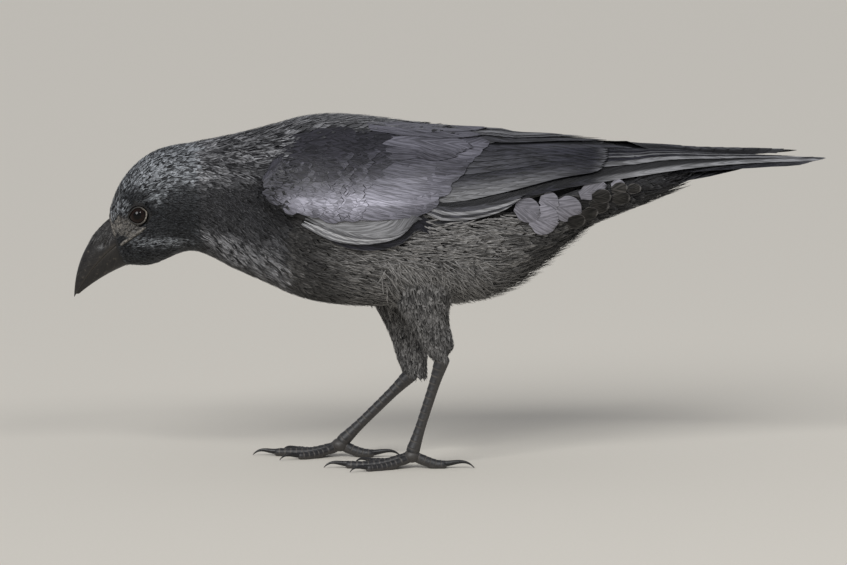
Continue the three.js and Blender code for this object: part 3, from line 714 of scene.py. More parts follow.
def arm_shell(wing):
    """The folded arm under the coverts: the front of the wing's outer face, moved in, and closed inside."""
    front = (slice(2, WING_ROWS // 2, 2), slice(2, -3, 2))
    p, normal = wing.points[front], wing.fields[front][..., 3:6]
    v = np.linspace(0, 1, p.shape[1])[None, :, None]
    u = np.linspace(0, 1, len(p))[:, None, None]
    thick = 7 * np.sin(np.pi * v) ** 0.5 * (1 - 0.8 * u)
    outer, inner = p - normal * ARM_COAT, p - normal * (ARM_COAT + 0.8 + thick)
    return np.concatenate([outer, inner[:, ::-1]], axis=1)


def union(parts, name, material):
    """One closed mesh from several overlapping closed ones."""
    whole = parts[0]
    for other in parts[1:]:
        modifier = whole.modifiers.new("join", "BOOLEAN")
        modifier.operation, modifier.object, modifier.solver = "UNION", other, "MANIFOLD"
    bpy.context.view_layer.update()
    evaluated = whole.evaluated_get(bpy.context.evaluated_depsgraph_get())
    mesh = bpy.data.meshes.new_from_object(evaluated)
    for part in parts:
        bpy.data.objects.remove(part)
    mesh.name = name
    mesh.materials.clear()
    mesh.materials.append(material)
    thing = bpy.data.objects.new(name, mesh)
    bpy.context.scene.collection.objects.link(thing)
    return thing


shells = [skin_shell()]
shells += [thigh.points - thigh.fields[..., 3:6] * THIGH_COAT for thigh in thighs.values()]
shells += [arm_shell(wing) for wing in wings.values()]
skin = union([piece("shell", SKIN_UNDER, tube(shell)) for shell in shells], "skin", SKIN_UNDER)
skin.data.polygons.foreach_set("use_smooth", np.full(len(skin.data.polygons), True))
flat = np.empty(3 * len(skin.data.vertices))
skin.data.vertices.foreach_get("co", flat)
bareness = bare_face(flat.reshape(-1, 3) / MM)
skin.data.attributes.new("bare", "FLOAT", "POINT").data.foreach_set("value", bareness.astype(np.float32))
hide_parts(*FLESH, "thigh_left", "thigh_right")
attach(skin, "root")
print("skin faces", len(skin.data.polygons))

# %% [markdown]
# ## Feathers
#
# Every feather is a thin closed leaf: an upper and a lower sheet of a few quads that share their rim. Its
# shaft is a walk over a surface, and every point of the vane is found on that surface too, so a feather
# bends round the bird by itself. It starts under the coat and its tip stands on it, which is how roof tiles
# lie, so the feather rooted further forward always covers the one behind.

# %% The leaf and its map
def leaf(rows, columns):
    """Corner numbers of the upper and the lower sheet, and the quads of both, for one feather."""
    upper = np.arange((rows + 1) * (columns + 1)).reshape(rows + 1, columns + 1)
    lower = upper.copy()
    lower[1:-1, 1:-1] = upper.size + np.arange((rows - 1) * (columns - 1)).reshape(rows - 1, columns - 1)
    quads = []
    for grid, step in ((upper, 1), (lower, -1)):
        corners = [grid[:-1, :-1], grid[1:, :-1], grid[1:, 1:], grid[:-1, 1:]]
        quads.append(np.stack(corners, axis=-1).reshape(-1, 4)[:, ::step])
    return np.concatenate(quads)


PATCH = 0.003  # the size of one feather on the map that colours are baked to


def leaves(surface, us, vs, plus, minus, lift, tone, columns, camber, thick, slip=0.0, pale=0.0, tilt=0.0,
           inner_side=0):
    """Feathers on a surface, as one shape.

    us, vs and lift have a row for each feather and a number for each step along its shaft. plus and minus
    are its half widths at those steps, on the side that the surface's normal turns to and on the other one.
    slip moves points along the feather, which frays its end. A vane sinks to its edges by camber, and rises
    towards its plus side by tilt. inner_side is 1 or -1 if that side is a quill's dark inner vane.
    """
    count, steps = us.shape
    across = np.linspace(-1, 1, columns + 1)
    offset = np.where(across > 0, plus[..., None] * across, minus[..., None] * across)
    point, normal, along, round_ = surface.at(us, vs)
    ahead = unit(np.gradient(point, axis=1))
    aside = unit(np.cross(normal, ahead))
    du, dv = in_shares(aside[:, :, None] * offset[..., None], along[:, :, None], round_[:, :, None])
    place, up = surface.at(us[..., None] + du, vs[..., None] + dv)[:2]
    height = lift[..., None] - camber * np.abs(offset) * np.abs(across) + tilt * offset
    forward = slip + 0 * offset
    top = place + up * height[..., None] + ahead[:, :, None] * forward[..., None]
    share = np.linspace(0, 1, steps)[None, :, None] + 0 * offset
    length = np.linalg.norm(np.diff(point, axis=1), axis=-1).cumsum(1)
    length = np.concatenate([np.zeros((count, 1)), length], axis=1)[..., None] + forward
    belly = top - up * thick * (1 - share[..., None]) ** 0.3
    inner = (slice(None), slice(1, -1), slice(1, -1))
    rim = np.ones(offset.shape, bool)
    rim[inner] = False

    def both(upper, lower):
        """Values of the upper sheet, and of the inside of the lower one, feather by feather."""
        size = upper.shape[3:]
        sheets = [upper.reshape(count, -1, *size), lower[inner].reshape(count, -1, *size)]
        return np.concatenate(sheets, axis=1).reshape(-1, *size)

    def every(values):
        """The same values on both sheets, spread out to one for each point."""
        values = np.broadcast_to(values, offset.shape + np.shape(values)[3:])
        return both(values, values)

    quads = leaf(steps - 1, columns)
    per = (quads.max() + 1) * np.arange(count)
    root = np.stack([us[:, :1], vs[:, :1] % 1], axis=-1)[:, :, None] * 0.98 + 0.01
    local = np.stack([across / 2 + 0 * offset, share - 0.5], axis=-1)
    sheen = pale(top) if callable(pale) else np.broadcast_to(pale, (count,))[:, None, None]
    return {
        "points": both(top, belly),
        "faces": (quads[None] + per[:, None, None]).reshape(-1, 4),
        "rim": every(rim),
        "uvs": {"vane": every(np.stack([offset, length], axis=-1)), "OFBake": every(root + PATCH * local)},
        "values": {
            "tone": every(tone[:, None, None]), "along": every(share), "across": every(np.abs(across)),
            "inner": every(np.clip(across * inner_side, 0, 1)), "pale": every(sheen),
        },
    }


def plumage(name, batches, material, replaces=()):
    """A piece of coat from batches of feathers."""
    coat = joined(batches)
    piece(name, material, coat, "plumage", replaces)
    print(name, "triangles", 2 * len(coat["faces"]))


# %% Outlines and walks
def outline(share, shoulder, tip, root=0.35):
    """A vane's half width along it, from 0 to 1: it widens from the root, holds, and closes past the shoulder.

    tip is 0.5 for a round end, about 1 for a blunt point and more for a sharp one.
    """
    widen = root + (1 - root) * ramp(share, 0, 0.35)
    close = (1 - (np.clip(share - shoulder, 0, 1) / (1 - shoulder)) ** 2) ** tip
    return widen * np.maximum(close, 0.06)


def shares(steps, crowd):
    """Places along a shaft, closer together towards the tip."""
    return 1 - (1 - np.linspace(0, 1, steps + 1)) ** crowd


def walk(surface, u, v, heading, length, steps, bend=0.0):
    """Shafts that start at u and v and walk over the surface at an angle to its length.

    heading is in radians, and grows towards the side that the surface's normal turns to.
    """
    us, vs = [u], [v]
    for k in range(steps):
        _, normal, along, round_ = surface.at(us[-1], vs[-1])
        ahead = unit(along)
        aside = np.cross(normal, ahead)
        angle = (heading + bend * k / steps)[:, None]
        step = (ahead * np.cos(angle) + aside * np.sin(angle)) * (length / steps)[:, None]
        du, dv = in_shares(step, along, round_)
        us.append(us[-1] + du)
        vs.append(vs[-1] + dv)
    return np.stack(us, axis=1), np.stack(vs, axis=1)


def frayed(count, steps, columns, length, amount):
    """How far each point of a vane's last steps falls short: barbs come apart at a soft feather's end."""
    share = np.linspace(0, 1, steps + 1)[None, :, None]
    short = rng.random((count, 1, columns + 1))
    return -amount * length[:, None, None] * short * share**5


# %% Roots all over the body
def by_x(x, pairs):
    """A value by the place along the bird: straight lines between pairs of x and value."""
    return np.interp(x, *zip(*pairs))


def root_rows(surface, lengths, spacing):
    """Roots in staggered rows over a closed surface: one row every spacing, and as many roots in it as fit."""
    total = np.linalg.norm(np.diff(surface.points, axis=0), axis=-1).mean(1).sum()
    us, vs, u, k = [], [], 0.004, 0
    while u < 0.995:
        row = min(int(u * (len(surface.points) - 1)), len(surface.points) - 2)
        gap = spacing(surface.points[row, :, 0].mean(), u)
        walked = np.concatenate([[0], np.cumsum(lengths[row])])
        number = max(6, int(walked[-1] / gap))
        place = (np.arange(number) + 0.5 * (k % 2) + rng.uniform(-0.25, 0.25, number)) / number
        vs.append(np.interp((place % 1) * walked[-1], walked, np.linspace(0, 1, len(walked))))
        us.append(u + rng.uniform(-0.3, 0.3, number) * gap / total)
        u += gap / total
        k += 1
    return np.concatenate(us), np.concatenate(vs)


def seen_from_side(surface, u, v):
    """Point at u and v, how far round from the back to the belly it is (0 to 1), and its side of the bird."""
    return surface.at(u, v)[0], np.abs((v + 0.5) % 1 - 0.5) * 2, np.where(v < 0.5, RIGHT, LEFT)


def shoulder_line(x):
    """The height of the lower edge of the shoulder feathers on the folded wing."""
    return np.interp(x, (-110, -76, -50, -34, -10), (175, 173, 179, 186, 193))


WING_STEP = 1.2  # from where the wings stand out this far, the body's feathers lie hidden under them
COAT_END = 126  # the x behind which only the tail's own feathers start


def where_coat_grows(u, v, eye_margin):
    """Roots that are to grow a feather: not beneath the wing's own coverts, on bare skin or close to an eye.

    Feathers of the neck and the shoulder grow over the wing's upper front, so they are let through there.
    """
    point, back, _ = seen_from_side(cloak, u, v)
    x, z = point[:, 0], point[:, 2]
    row = np.clip(np.round(u * (RINGS - 1)).astype(int), 0, RINGS - 1)
    column = np.round((v % 1) * AROUND).astype(int) % AROUND
    on_wings = wing_rise[row, column] > WING_STEP
    upper = ((z > shoulder_line(x)) & (x < 8)) | ((back < 0.13 - 0.08 * ramp(x, -16, 4)) & (x < 70))
    front = (x < -105) | ((x < -98) & (z > 168)) | (z < np.interp(x, (-108, -93, -76, -70), (160, 153, 149, 130)))
    above_eye = ramp(z, EYES["left"][2] + 1, EYES["left"][2] + 5)
    bare = (bare_face(point) > 0.4) & (back > 0.25)
    near = from_eyes(point) < EYE_RADIUS + eye_margin - 2.0 * above_eye
    return (~on_wings | upper | front) & ~bare & ~near & (x < COAT_END)


BODY_SPACING = (
    (-196, 1.6), (-172, 1.8), (-150, 2.3), (-128, 2.9), (-104, 3.7), (-90, 4.6), (-40, 5.4), (60, 6), (140, 6.2),
)
cloak_length = np.linalg.norm(np.roll(cloak.points, -1, 1) - cloak.points, axis=-1)
body_u, body_v = root_rows(cloak, cloak_length, lambda x, u: by_x(x, BODY_SPACING))
grown = where_coat_grows(body_u, body_v, 1.2)
body_u, body_v = body_u[grown], body_v[grown]
body_root, from_back, body_side = seen_from_side(cloak, body_u, body_v)
body_x, body_z = body_root[:, 0], body_root[:, 2]
on_shoulder = (body_z > shoulder_line(body_x)) & (body_x > -104) & (body_x < 8)
LOWER_LINE = wings["left"].points[::8, -1][:, [0, 2]]  # x and z of the folded wing's lower edge


def under_edge(point):
    """1 just under the folded wing's lower edge, falling to 0 over about four millimetres."""
    below = np.interp(point[..., 0], *LOWER_LINE.T) - point[..., 2]
    return hill((below - 0.5) / 4) * ramp(point[..., 0], -98, -85) * (1 - ramp(point[..., 0], 40, 60))


print("body roots", len(grown), "kept", grown.sum(), "on the shoulders", on_shoulder.sum())

# %% Lie of the feathers on the body
def body_heading(x, back, side):
    """The angle at which feathers lie, downwards positive: back and down on the neck's side, level elsewhere."""
    beside = np.sin(np.pi * np.clip(back, 0, 1))
    neck = hill((x + 130) / 38) * beside * 0.5
    flank = ramp(x, -20, 40) * (1 - ramp(x, 70, 110)) * beside * 0.3
    return (neck + flank) * np.where(side == RIGHT, 1, -1)


def body_feathers(chosen, steps, columns, length, half_width, rise, shoulder, tip, fray, camber=0.1, sink=1.0,
                  more_rise=0.0, over=cloak, pale=None):
    """Feathers at the chosen roots; each varies by a seventh.

    length, half_width and rise, in millimetres, and fray, as a share of the length, are pairs of x and value.
    more_rise is added to the rise, sink is how deep the roots lie as a share of the usual depth, and pale
    stands in for the painted sheen that the place gives. Just under the folded wing's edge the feathers sink
    into a recess, and their tone and sheen are darkened there as painted shade.
    """
    u, v, x = body_u[chosen], body_v[chosen], body_x[chosen]
    count = len(u)
    vary = rng.uniform(0.86, 1.14, (4, count))
    heading = body_heading(x, from_back[chosen], body_side[chosen]) + rng.normal(0, 0.09, count)
    long_ = by_x(x, length) * vary[0]
    us, vs = walk(over, u, v, heading, long_, steps, bend=rng.normal(0, 0.12, count))
    share = np.linspace(0, 1, steps + 1)
    half = (by_x(x, half_width) * vary[1])[:, None] * outline(share, shoulder, tip)
    root_sink = -depth_of_coat(x) * 0.75 * sink
    lift = root_sink[:, None] + ((by_x(x, rise) + more_rise) * vary[2] - root_sink)[:, None] * share**0.75
    slip = frayed(count, steps, columns, long_, by_x(x, fray)[:, None, None])
    # hollow is 1 just under the wing's edge: it sinks the feathers into a real recess, and darkens their tone and
    # sheen as painted shade.
    hollow = under_edge(body_root[chosen]) if over is body else np.zeros(count)
    undertail = ramp(x, 85, 125) * ramp(from_back[chosen], 0.45, 0.8)
    lift = lift - 2.4 * hollow[:, None] * share - 4.2 * undertail[:, None] * share
    if pale is None:
        pale = painted_glints(x, body_z[chosen], from_back[chosen], FEATHER_POWER) * (1 - 0.9 * hollow)
    return leaves(over, us, vs, half, half, lift, rng.random(count) * (1 - hollow), columns, camber, 0.14, slip, pale)


# Place x and z, spread along x and z, and strength of each patch of painted sheen on a folded wing.
PAINTED_SHEEN_SPOTS = ((-88, 157, 20, 6, 0.5), (-54, 157, 24, 9, 0.75), (-20, 165, 26, 12, 0.36), (6, 187, 24, 5, 0.35))


def painted_wing_sheen(points):
    """How much painted sheen a folded wing shows, as paler colour where its gloss would be lit: most low down on its
    front, little behind and above.
    """
    x, z = points[..., 0], points[..., 2]
    sheen = sum(most * hill((x - at) / wide, (z - up) / high) for at, up, wide, high, most in PAINTED_SHEEN_SPOTS)
    return 0.03 + sheen * ramp(x, -112, -88)


def gloss(x, z, back):
    """How much painted sheen the feathers show, by place, in place of light on their gloss: most on crown, jaw and
    belly, little on brow and cheek.
    """
    head = ramp(-x, 135, 150)
    crown = head * (1 - ramp(back, 0.2, 0.4)) * ramp(-x, 128, 150)
    nape = (1 - head) * ramp(-x, 85, 110) * (1 - ramp(back, 0.2, 0.42))
    throat = (1 - head) * ramp(-x, 85, 110) * ramp(back, 0.55, 0.75)
    jaw = hill((z - BILL_TIP[2] - 33) / 2.6) * ramp(-x, 150, 162) * (1 - ramp(-x, 182, 190))
    chin = head * ramp(back, 0.8, 1.0)
    mantle = (1 - ramp(-x, 95, 110)) * (1 - ramp(back, 0.14, 0.22)) * (1 - ramp(x, -10, 20))
    belly = (1 - ramp(-x, 50, 90)) * ramp(back, 0.3, 0.45) * (1 - 0.35 * ramp(back, 0.62, 0.85))
    belly = belly * (1 - ramp(x, 4, 50))
    shown = 0.58 * crown + 0.26 * nape + 0.2 * throat + 0.6 * jaw + 0.15 * chin + 0.3 * mantle + 0.7 * belly
    everywhere = (0.05 + 0.08 * (1 - ramp(-x, 60, 100))) * (1 - 0.8 * ramp(x, 25, 75))
    # The brow, the cheek and the side of the neck get little painted sheen, and a wisp above the eye and a stripe
    # running back down the throat get a painted highlight.
    from_eye, above_eye = x - EYES["left"][0], z - EYES["left"][2]
    brow = 1 - 0.97 * hill((from_eye + 6) / 9, (above_eye - 9) / 7)
    cheek = 1 - 0.95 * hill((from_eye - 20) / 18, (above_eye + 2) / 8)
    side = 1 - 0.88 * hill((x + 118) / 22, (z - 155) / 11)
    wisp = hill((from_eye - 8) / 3, (above_eye - 9) / 3.5)
    stripe = hill((z - 138 + 0.49 * (x + 150)) / 6) * ramp(x, -153, -146) * (1 - ramp(x, -104, -90))
    return 0.4 * wisp + 0.37 * stripe + brow * cheek * side * (shown + everywhere)


HEAD_END, NECK_END, BREAST_END, BELLY_END = -150, -104, -50, 62
# The glints are painted sheen: single feathers made paler in place of light on their gloss.
SPOTTED_END = -95  # in front of this x the paleness of single feathers differs more
SPOTTED, EVEN = (1.0, 2.9), (0.4, 2.0)  # how uneven the feathers are, and how pale the palest is
PALEST = 0.95
FEATHER_POWER, BARB_POWER = 2.2, 1.7  # the higher, the fewer of them are pale


def painted_glints(x, z, back, power):
    """Each feather's painted sheen: the painted gloss of its place times a random share, mostly small on head and
    neck.
    """
    uneven, most = (np.where(x > SPOTTED_END, *pair) for pair in zip(EVEN, SPOTTED))
    return np.clip(gloss(x, z, back) * most * rng.random(len(x)) ** (uneven * power), 0, PALEST)


plumage("head_feathers", [body_feathers(
    body_x < HEAD_END, 4, 2, ((-198, 2.6), (-185, 4.0), (-165, 5.4), (-150, 7.5)),
    ((-198, 0.65), (-180, 1.0), (-150, 1.35)), ((-198, 0.1), (-150, 0.25)), 0.6, 0.5, ((0, 0.08),),
)], HEAD_FEATHER)
plumage("neck_hackles", [body_feathers(
    (body_x >= HEAD_END) & (body_x < NECK_END), 5, 2, ((-150, 8.5), (-128, 12), (-104, 17)),
    ((-150, 1.4), (-104, 2.5)), ((-150, 0.3), (-104, 0.6)), 0.45, 0.7, ((0, 0.12),),
)], HACKLE)

# %% Coat of the back, shoulders, breast, belly and rump
on_back = (body_x >= NECK_END) & (body_x < 100) & (from_back < 0.16)
x = body_x[on_back]
# Painted sheen of the mantle: pale streaks along the top of the back, fading behind and where the mantle meets the
# shoulders.
sheen = 0.98 * rng.random(len(x)) ** 0.8 * (1 - 0.9 * ramp(x, -56, -34))
sheen = sheen * (1 - 0.85 * ramp(from_back[on_back], 0.1, 0.14) * ramp(x, -104, -94))
plumage("mantle_feathers", [body_feathers(
    on_back, 5, 4, ((-104, 17), (-50, 20), (100, 26)), ((-104, 2.8), (-30, 4.0), (100, 6)),
    ((-104, 0.5), (-60, 0.3), (100, 0.1)), 0.5, 0.6, ((0, 0.08),), camber=0.05, pale=sheen,
    more_rise=1.4 * hill((x + 28) / 16) * (from_back[on_back] < 0.11),  # over the groove between the wings
)], HACKLE)

shoulders = on_shoulder & ~on_back
plumage("shoulder_feathers", [body_feathers(
    shoulders, 6, 4, ((-104, 17), (-60, 24), (0, 28)), ((-104, 3.6), (-70, 5.6), (0, 7.0)),
    ((-104, 0.3), (0, 0.15)), 0.45, 0.55, ((0, 0.03),), camber=0.01, sink=0.08, pale=painted_wing_sheen,
)], SHOULDER_SILK)

below = (body_x >= NECK_END) & ~on_back & ~shoulders
for name, start, end in (("breast_feathers", NECK_END, BREAST_END), ("belly_feathers", BREAST_END, BELLY_END)):
    plumage(name, [body_feathers(
        below & (body_x >= start) & (body_x < end), 5, 4, ((-104, 17), (-50, 24), (60, 29)),
        ((-104, 2.8), (-50, 4.4), (60, 5.4)), ((-104, 0.5), (60, 0.8)), 0.5, 0.55, ((-104, 0.12), (60, 0.24)),
        over=body,
    )], BODY_FEATHER)
plumage("rump_and_tail_coverts", [body_feathers(
    below & (body_x >= BELLY_END), 5, 4, ((62, 27), (100, 24), (140, 26)), ((62, 5.6), (100, 5.2), (140, 4.6)),
    ((62, 0.8), (140, 0.2)), 0.5, 0.7, ((62, 0.1), (110, 0.03)), over=body,
)], HACKLE)

# %% [markdown]
# ## The folded wings
#
# A folded wing is a fan shut under a roof. The quills slide under each other with the innermost on top, so
# only the lower edge of each one shows, as a narrow stripe. Short coverts hide their roots in rows, and the
# soft shoulder feathers lie over the top. Each group here runs from its uppermost feather to its lowest one,
# given as places seen from the bird's side.

# %% Places on a wing
def on_wing(places):
    """The u and v of places x, z seen from the side, on the left wing; the right wing uses the same shares."""
    grid = wings["left"].points
    x, z = np.asarray(places, float).T
    u = (x - grid[0, 0, 0]) / (grid[-1, 0, 0] - grid[0, 0, 0])
    row = np.clip(np.round(u * (WING_ROWS - 1)).astype(int), 0, WING_ROWS - 1)
    falling = np.minimum.accumulate(grid[row][..., 2], axis=1)
    columns = np.linspace(0, 1, WING_COLUMNS)
    v = np.array([np.interp(-height, -line, columns) for height, line in zip(z, falling)])
    return np.stack([u, v], axis=1)


def between(places, share):
    """Places along a broken line through rows of two numbers, at shares of its corners."""
    corners = np.linspace(0, 1, len(places))
    return np.stack([np.interp(share, corners, column) for column in places.T], axis=1)


TILT = 0.075  # each quill's upper vane dips under its neighbour by this slope
CROWD = 1.3  # how much closer together a quill's points are towards its tip


def wing_feathers(side, roots, tips, count, upper, lower, lift, steps, shoulder, tip, pale, columns=4, bow=0.0,
                  tilt=TILT, camber=0.03, jitter=0.0, fray=0.0, root=0.5, layer=0.0, straight=False,
                  dark_inner=False, tone_span=1.0, pale_from=None):
    """One group of feathers from its uppermost to its lowest, with shafts from roots to tips.

    upper and lower are half widths above and below the shaft, lift is the height at root and at tip, bow
    bends the shaft downwards in its middle, and layer raises each feather over the next lower one. A
    straight shaft is a straight line seen from the side, and another keeps its share of the wing's height.
    pale is how much painted sheen the feathers get, paler where their gloss would be lit, from the uppermost to
    the lowest, or a function of place, and pale_from is where along the bird it sets in and where it is full.
    """
    share = (np.arange(count) + 0.5) / count
    along = shares(steps, CROWD)
    if straight:
        start, end = between(np.array(roots, float), share), between(np.array(tips, float), share)
        end = end + rng.normal(0, jitter, end.shape) * (1.6, 0.8)
        line = start[:, None] + (end - start)[:, None] * along[None, :, None]
        line[..., 1] -= bow * np.sin(np.pi * along)
        us, vs = on_wing(line.reshape(-1, 2)).T.reshape(2, count, steps + 1)
    else:
        start, end = between(on_wing(roots), share), between(on_wing(tips), share)
        start = start + rng.normal(0, jitter, start.shape) * (0.01, 0.03)
        end = end + rng.normal(0, jitter, end.shape) * (0.01, 0.03)
        us = start[:, :1] + (end - start)[:, :1] * along
        vs = start[:, 1:] + (end - start)[:, 1:] * along + bow * np.sin(np.pi * along)
    shape = outline(along, shoulder, tip, root)
    up = (np.broadcast_to(upper, (count,)) * rng.uniform(0.94, 1.06, count))[:, None] * shape
    down = (np.broadcast_to(lower, (count,)) * rng.uniform(0.94, 1.06, count))[:, None] * shape
    wing = wings[NAMES[side]]
    plus, minus = (up, down) if side == LEFT else (down, up)
    height = lift[0] + (lift[1] - lift[0]) * along[None] + layer * (1 - share)[:, None]
    length = np.linalg.norm(np.diff(wing.at(us, vs)[0], axis=1), axis=-1).sum(1)
    slip = frayed(count, steps, columns, length, fray)
    vary = rng.uniform(0.75, 1.2, (count, 1, 1))
    if not callable(pale):
        vary *= np.interp(share, (np.arange(len(pale)) + 0.5) / len(pale), pale)[:, None, None]

    def glow(points):
        """How much painted sheen each feather has at its points."""
        if callable(pale):
            return pale(points) * vary
        return ramp(points[..., 0], *pale_from) * vary if pale_from else vary

    tone = rng.random(count) * tone_span
    return leaves(wing, us, vs, plus, minus, height, tone, columns, camber, 0.18, slip, glow, tilt * side,
                  -side if dark_inner else 0)


# %% Flight feathers
def quills(side):
    """Primaries under secondaries under tertials, with dark inner vanes, and two feathers of the darkest tone below
    them all as a painted shadow under the wing's edge.
    """
    # Two feathers of the darkest tone and no sheen: a dark band under the wing's edge, as painted shadow.
    shadow_feathers = wing_feathers(
        side, [(-84, 142), (-84, 140)], [(12, 147), (4, 145)], 2, 4.0, 3.6, (-3.0, -0.9), steps=14,
        root=0.1, shoulder=0.9, tip=0.5, pale=(0.0,), bow=0.05, tone_span=0.0,
    )
    # The quills' pale values are painted sheen: single stripes made paler where the outer vanes would catch the
    # light.
    tip_lift, third, fifth = (-0.6, 0.2, 0.35) if side == LEFT else (1.4, 0.0, 0.1)
    primaries = wing_feathers(
        side, [(-6, 176), (-6, 165), (-12, 152)],
        [(138, 187), (156, 185), (172, 183.5), (190, 182), (204, 180.5), (218.6, 178)], 9, 8.0, 2.0,
        (-1.6, tip_lift), steps=18, columns=6, shoulder=0.93, tip=0.5, tone_span=0.4, layer=0.4, bow=0.05,
        dark_inner=True, pale=(0.05, 0.0, third, 0.0, fifth, 0.0, 0.0, 0.5, 0.42), pale_from=(78, 100),
    )
    outer = wing_feathers(
        side, [(-30, 160), (-30, 154)], [(44, 163), (38, 158), (33, 154.5)], 4, 4, 1.8, (-0.9, 0.3), steps=10,
        columns=6, shoulder=0.8, tip=0.8, layer=0.4, bow=0.06, pale=(0.1, 0.6, 0.1, 0.7), dark_inner=True,
    )
    secondaries = wing_feathers(
        side, [(-28, 188), (-28, 170), (-28, 157)], [(90, 184.5), (90, 180), (86, 174)], 9, 9, 2.0,
        (-0.8, 0.7), steps=16, columns=6, shoulder=0.92, tip=0.5, layer=0.4, bow=0.03,
        pale=(0.06, 0.16, 0.04, 0.25, 0.42), pale_from=(90, 5), dark_inner=True,
    )
    tertials = wing_feathers(
        side, [(-40, 199), (-40, 187)], [(58, 194.5), (82, 191.5), (111, 183.5)], 4, 5, 4.6, (-1.4, 1.15), steps=16,
        columns=6, shoulder=0.6, tip=1.0, layer=0.6, bow=0.02, pale=(0.3, 0.04), dark_inner=True,
    )
    return [shadow_feathers, primaries, outer, secondaries, tertials]


for name, side in SIDES.items():
    plumage(f"flight_feathers_{name}", quills(side), QUILL, [f"primaries_{name}", f"secondaries_{name}"])


# %% Coverts
LESSER_END = -62  # the x behind which no lesser covert starts


def lesser_coverts(side):
    """Short soft feathers all over the front of the wing, in staggered rows that point back and a little down."""
    wing = wings[NAMES[side]]
    start, end = wing.points[0, 0, 0], wing.points[-1, 0, 0]
    us, vs = [], []
    for k, x in enumerate(np.arange(start + 0.5, LESSER_END, 2.7)):
        u = (x - start) / (end - start)
        chord = np.linalg.norm(np.diff(wing.points[int(u * (WING_ROWS - 1))], axis=0), axis=-1).sum()
        number = max(5, int(chord / 3.2))
        vs.append((np.arange(number) + 0.5 * (k % 2) + rng.uniform(-0.3, 0.3, number)) / number)
        us.append(u + rng.uniform(-1.4, 1.4, number) / (end - start))
    u, v = np.concatenate(us), np.clip(np.concatenate(vs), 0.02, 0.97)
    x, z = start + u * (end - start), wing.at(u, v)[0][:, 2]
    above = (z > np.interp(x, (-108, -93, -76, -60), (160, 154, 151.5, 152))) & (z < shoulder_line(x) + 4)
    u, v, x = u[above], v[above], x[above]
    count, steps = len(u), 6
    length = by_x(x, ((-109, 9), (LESSER_END, 17))) * rng.uniform(0.85, 1.15, count)
    us, vs = walk(wing, u, v, 0.08 * side + rng.normal(0, 0.1, count), length, steps, rng.normal(0, 0.1, count))
    share = np.linspace(0, 1, steps + 1)
    half = by_x(x, ((-109, 2.4), (LESSER_END, 4.6))) * rng.uniform(0.85, 1.15, count)
    half = half[:, None] * outline(share, 0.45, 0.6)
    lift = -0.25 + (0.55 + rng.uniform(-0.05, 0.05, (count, 1))) * share[None] ** 0.8
    vary = rng.uniform(0.75, 1.2, count)[:, None, None]
    return leaves(wing, us, vs, half, half, lift, rng.random(count), 4, 0.02, 0.1,
                  frayed(count, steps, 4, length, 0.06), lambda points: painted_wing_sheen(points) * vary)


def edge_strips(side):
    """The thumb's feathers and the primary coverts, long narrow strips along the wing's lower edge."""
    # The pale stripes of these strips are painted sheen, fading towards the rear.
    return wing_feathers(
        side, [(-84, 151), (-86, 146), (-88, 141)], [(-20, 148.5), (-17, 147), (-22, 145)], 6,
        (9, 6, 3.6, 3.4, 3.4, 3.4), 1.5, (-2.2, 0.4), steps=14, shoulder=0.8, tip=0.6, layer=0.5, bow=0.02,
        root=0.1, pale=(0.5, 0.3, 0.85, 0.35, 1.0, 0.4), pale_from=(-6, -44),
    )


# x of the roots, x of the tips from top to bottom, number and half width of the rows of median coverts.
MEDIAN_ROWS = ((-80, (-40, -47, -56), 9, 7.0), (-86, (-56, -59, -66), 10, 6.4))
MEDIAN_HEIGHTS = (186, 170.5, 155)


def median_row(side, start, tips, count, half):
    """One row of median coverts: roots on one line down the wing and tips on another one behind it."""
    top, middle, low = MEDIAN_HEIGHTS
    return wing_feathers(
        side, [(start, top + 1), (start, middle), (start + 4, low + 2)],
        [*zip(tips, MEDIAN_HEIGHTS)], count, half, half, (-0.6, 0.45),
        steps=8, shoulder=0.45, tip=0.6, jitter=1.2, tilt=0.02, camber=0.01, pale=painted_wing_sheen,
        fray=0.08, straight=True,
    )


def coverts(side):
    """The long greater coverts, then two rows of median ones over them and the lesser ones in front."""
    greater = wing_feathers(
        side, [(-62, 190), (-64, 176), (-66, 164), (-66, 152)],
        [(24, 191), (12, 180), (4, 171), (-7, 160), (-16, 153.5)], 12, 8.5, 5,
        (-0.3, 0.5), steps=14, columns=6, shoulder=0.84, tip=0.5, layer=0.15, jitter=0.6, camber=0.01, tilt=0.03,
        pale=painted_wing_sheen, fray=0.01, straight=True, bow=1.5,
    )
    return [greater, *(median_row(side, *row) for row in MEDIAN_ROWS), lesser_coverts(side)]


def shoulder_lobe(side):
    """The hindmost shoulder feathers: a long pointed lobe over the roots of the flight feathers."""
    lift, tilt = ((-0.2, 1.2), 0.04) if side == LEFT else ((-0.6, 0.7), 0.1)
    # pale here is painted sheen, more on the upper feathers.
    return wing_feathers(
        side, [(-46, 201), (-46, 184)], [(23, 193.5), (14, 187), (4, 181)], 5, 8.5, 6.5, lift, steps=12, columns=6,
        shoulder=0.6, tip=0.8, layer=0.4, jitter=0.4, camber=0.012, tilt=tilt, fray=0.06, pale=(0.35, 0.2),
    )


for name, side in SIDES.items():
    plumage(f"wing_coverts_{name}", coverts(side), WING_SILK, [f"wing_{name}"])
    plumage(f"wing_edge_{name}", [edge_strips(side)], QUILL)
    plumage(f"shoulder_lobe_{name}", [shoulder_lobe(side)], SHOULDER_SILK)

# %% [markdown]
# ## The tail
#
# A crow's tail has twelve broad feathers. Shut, they lie in a stack with the middle pair on top, and each
# one further out peeps past the last at the side and falls a little short of it at the tip.

# %% Tail feathers
TAIL_PAIRS = 6


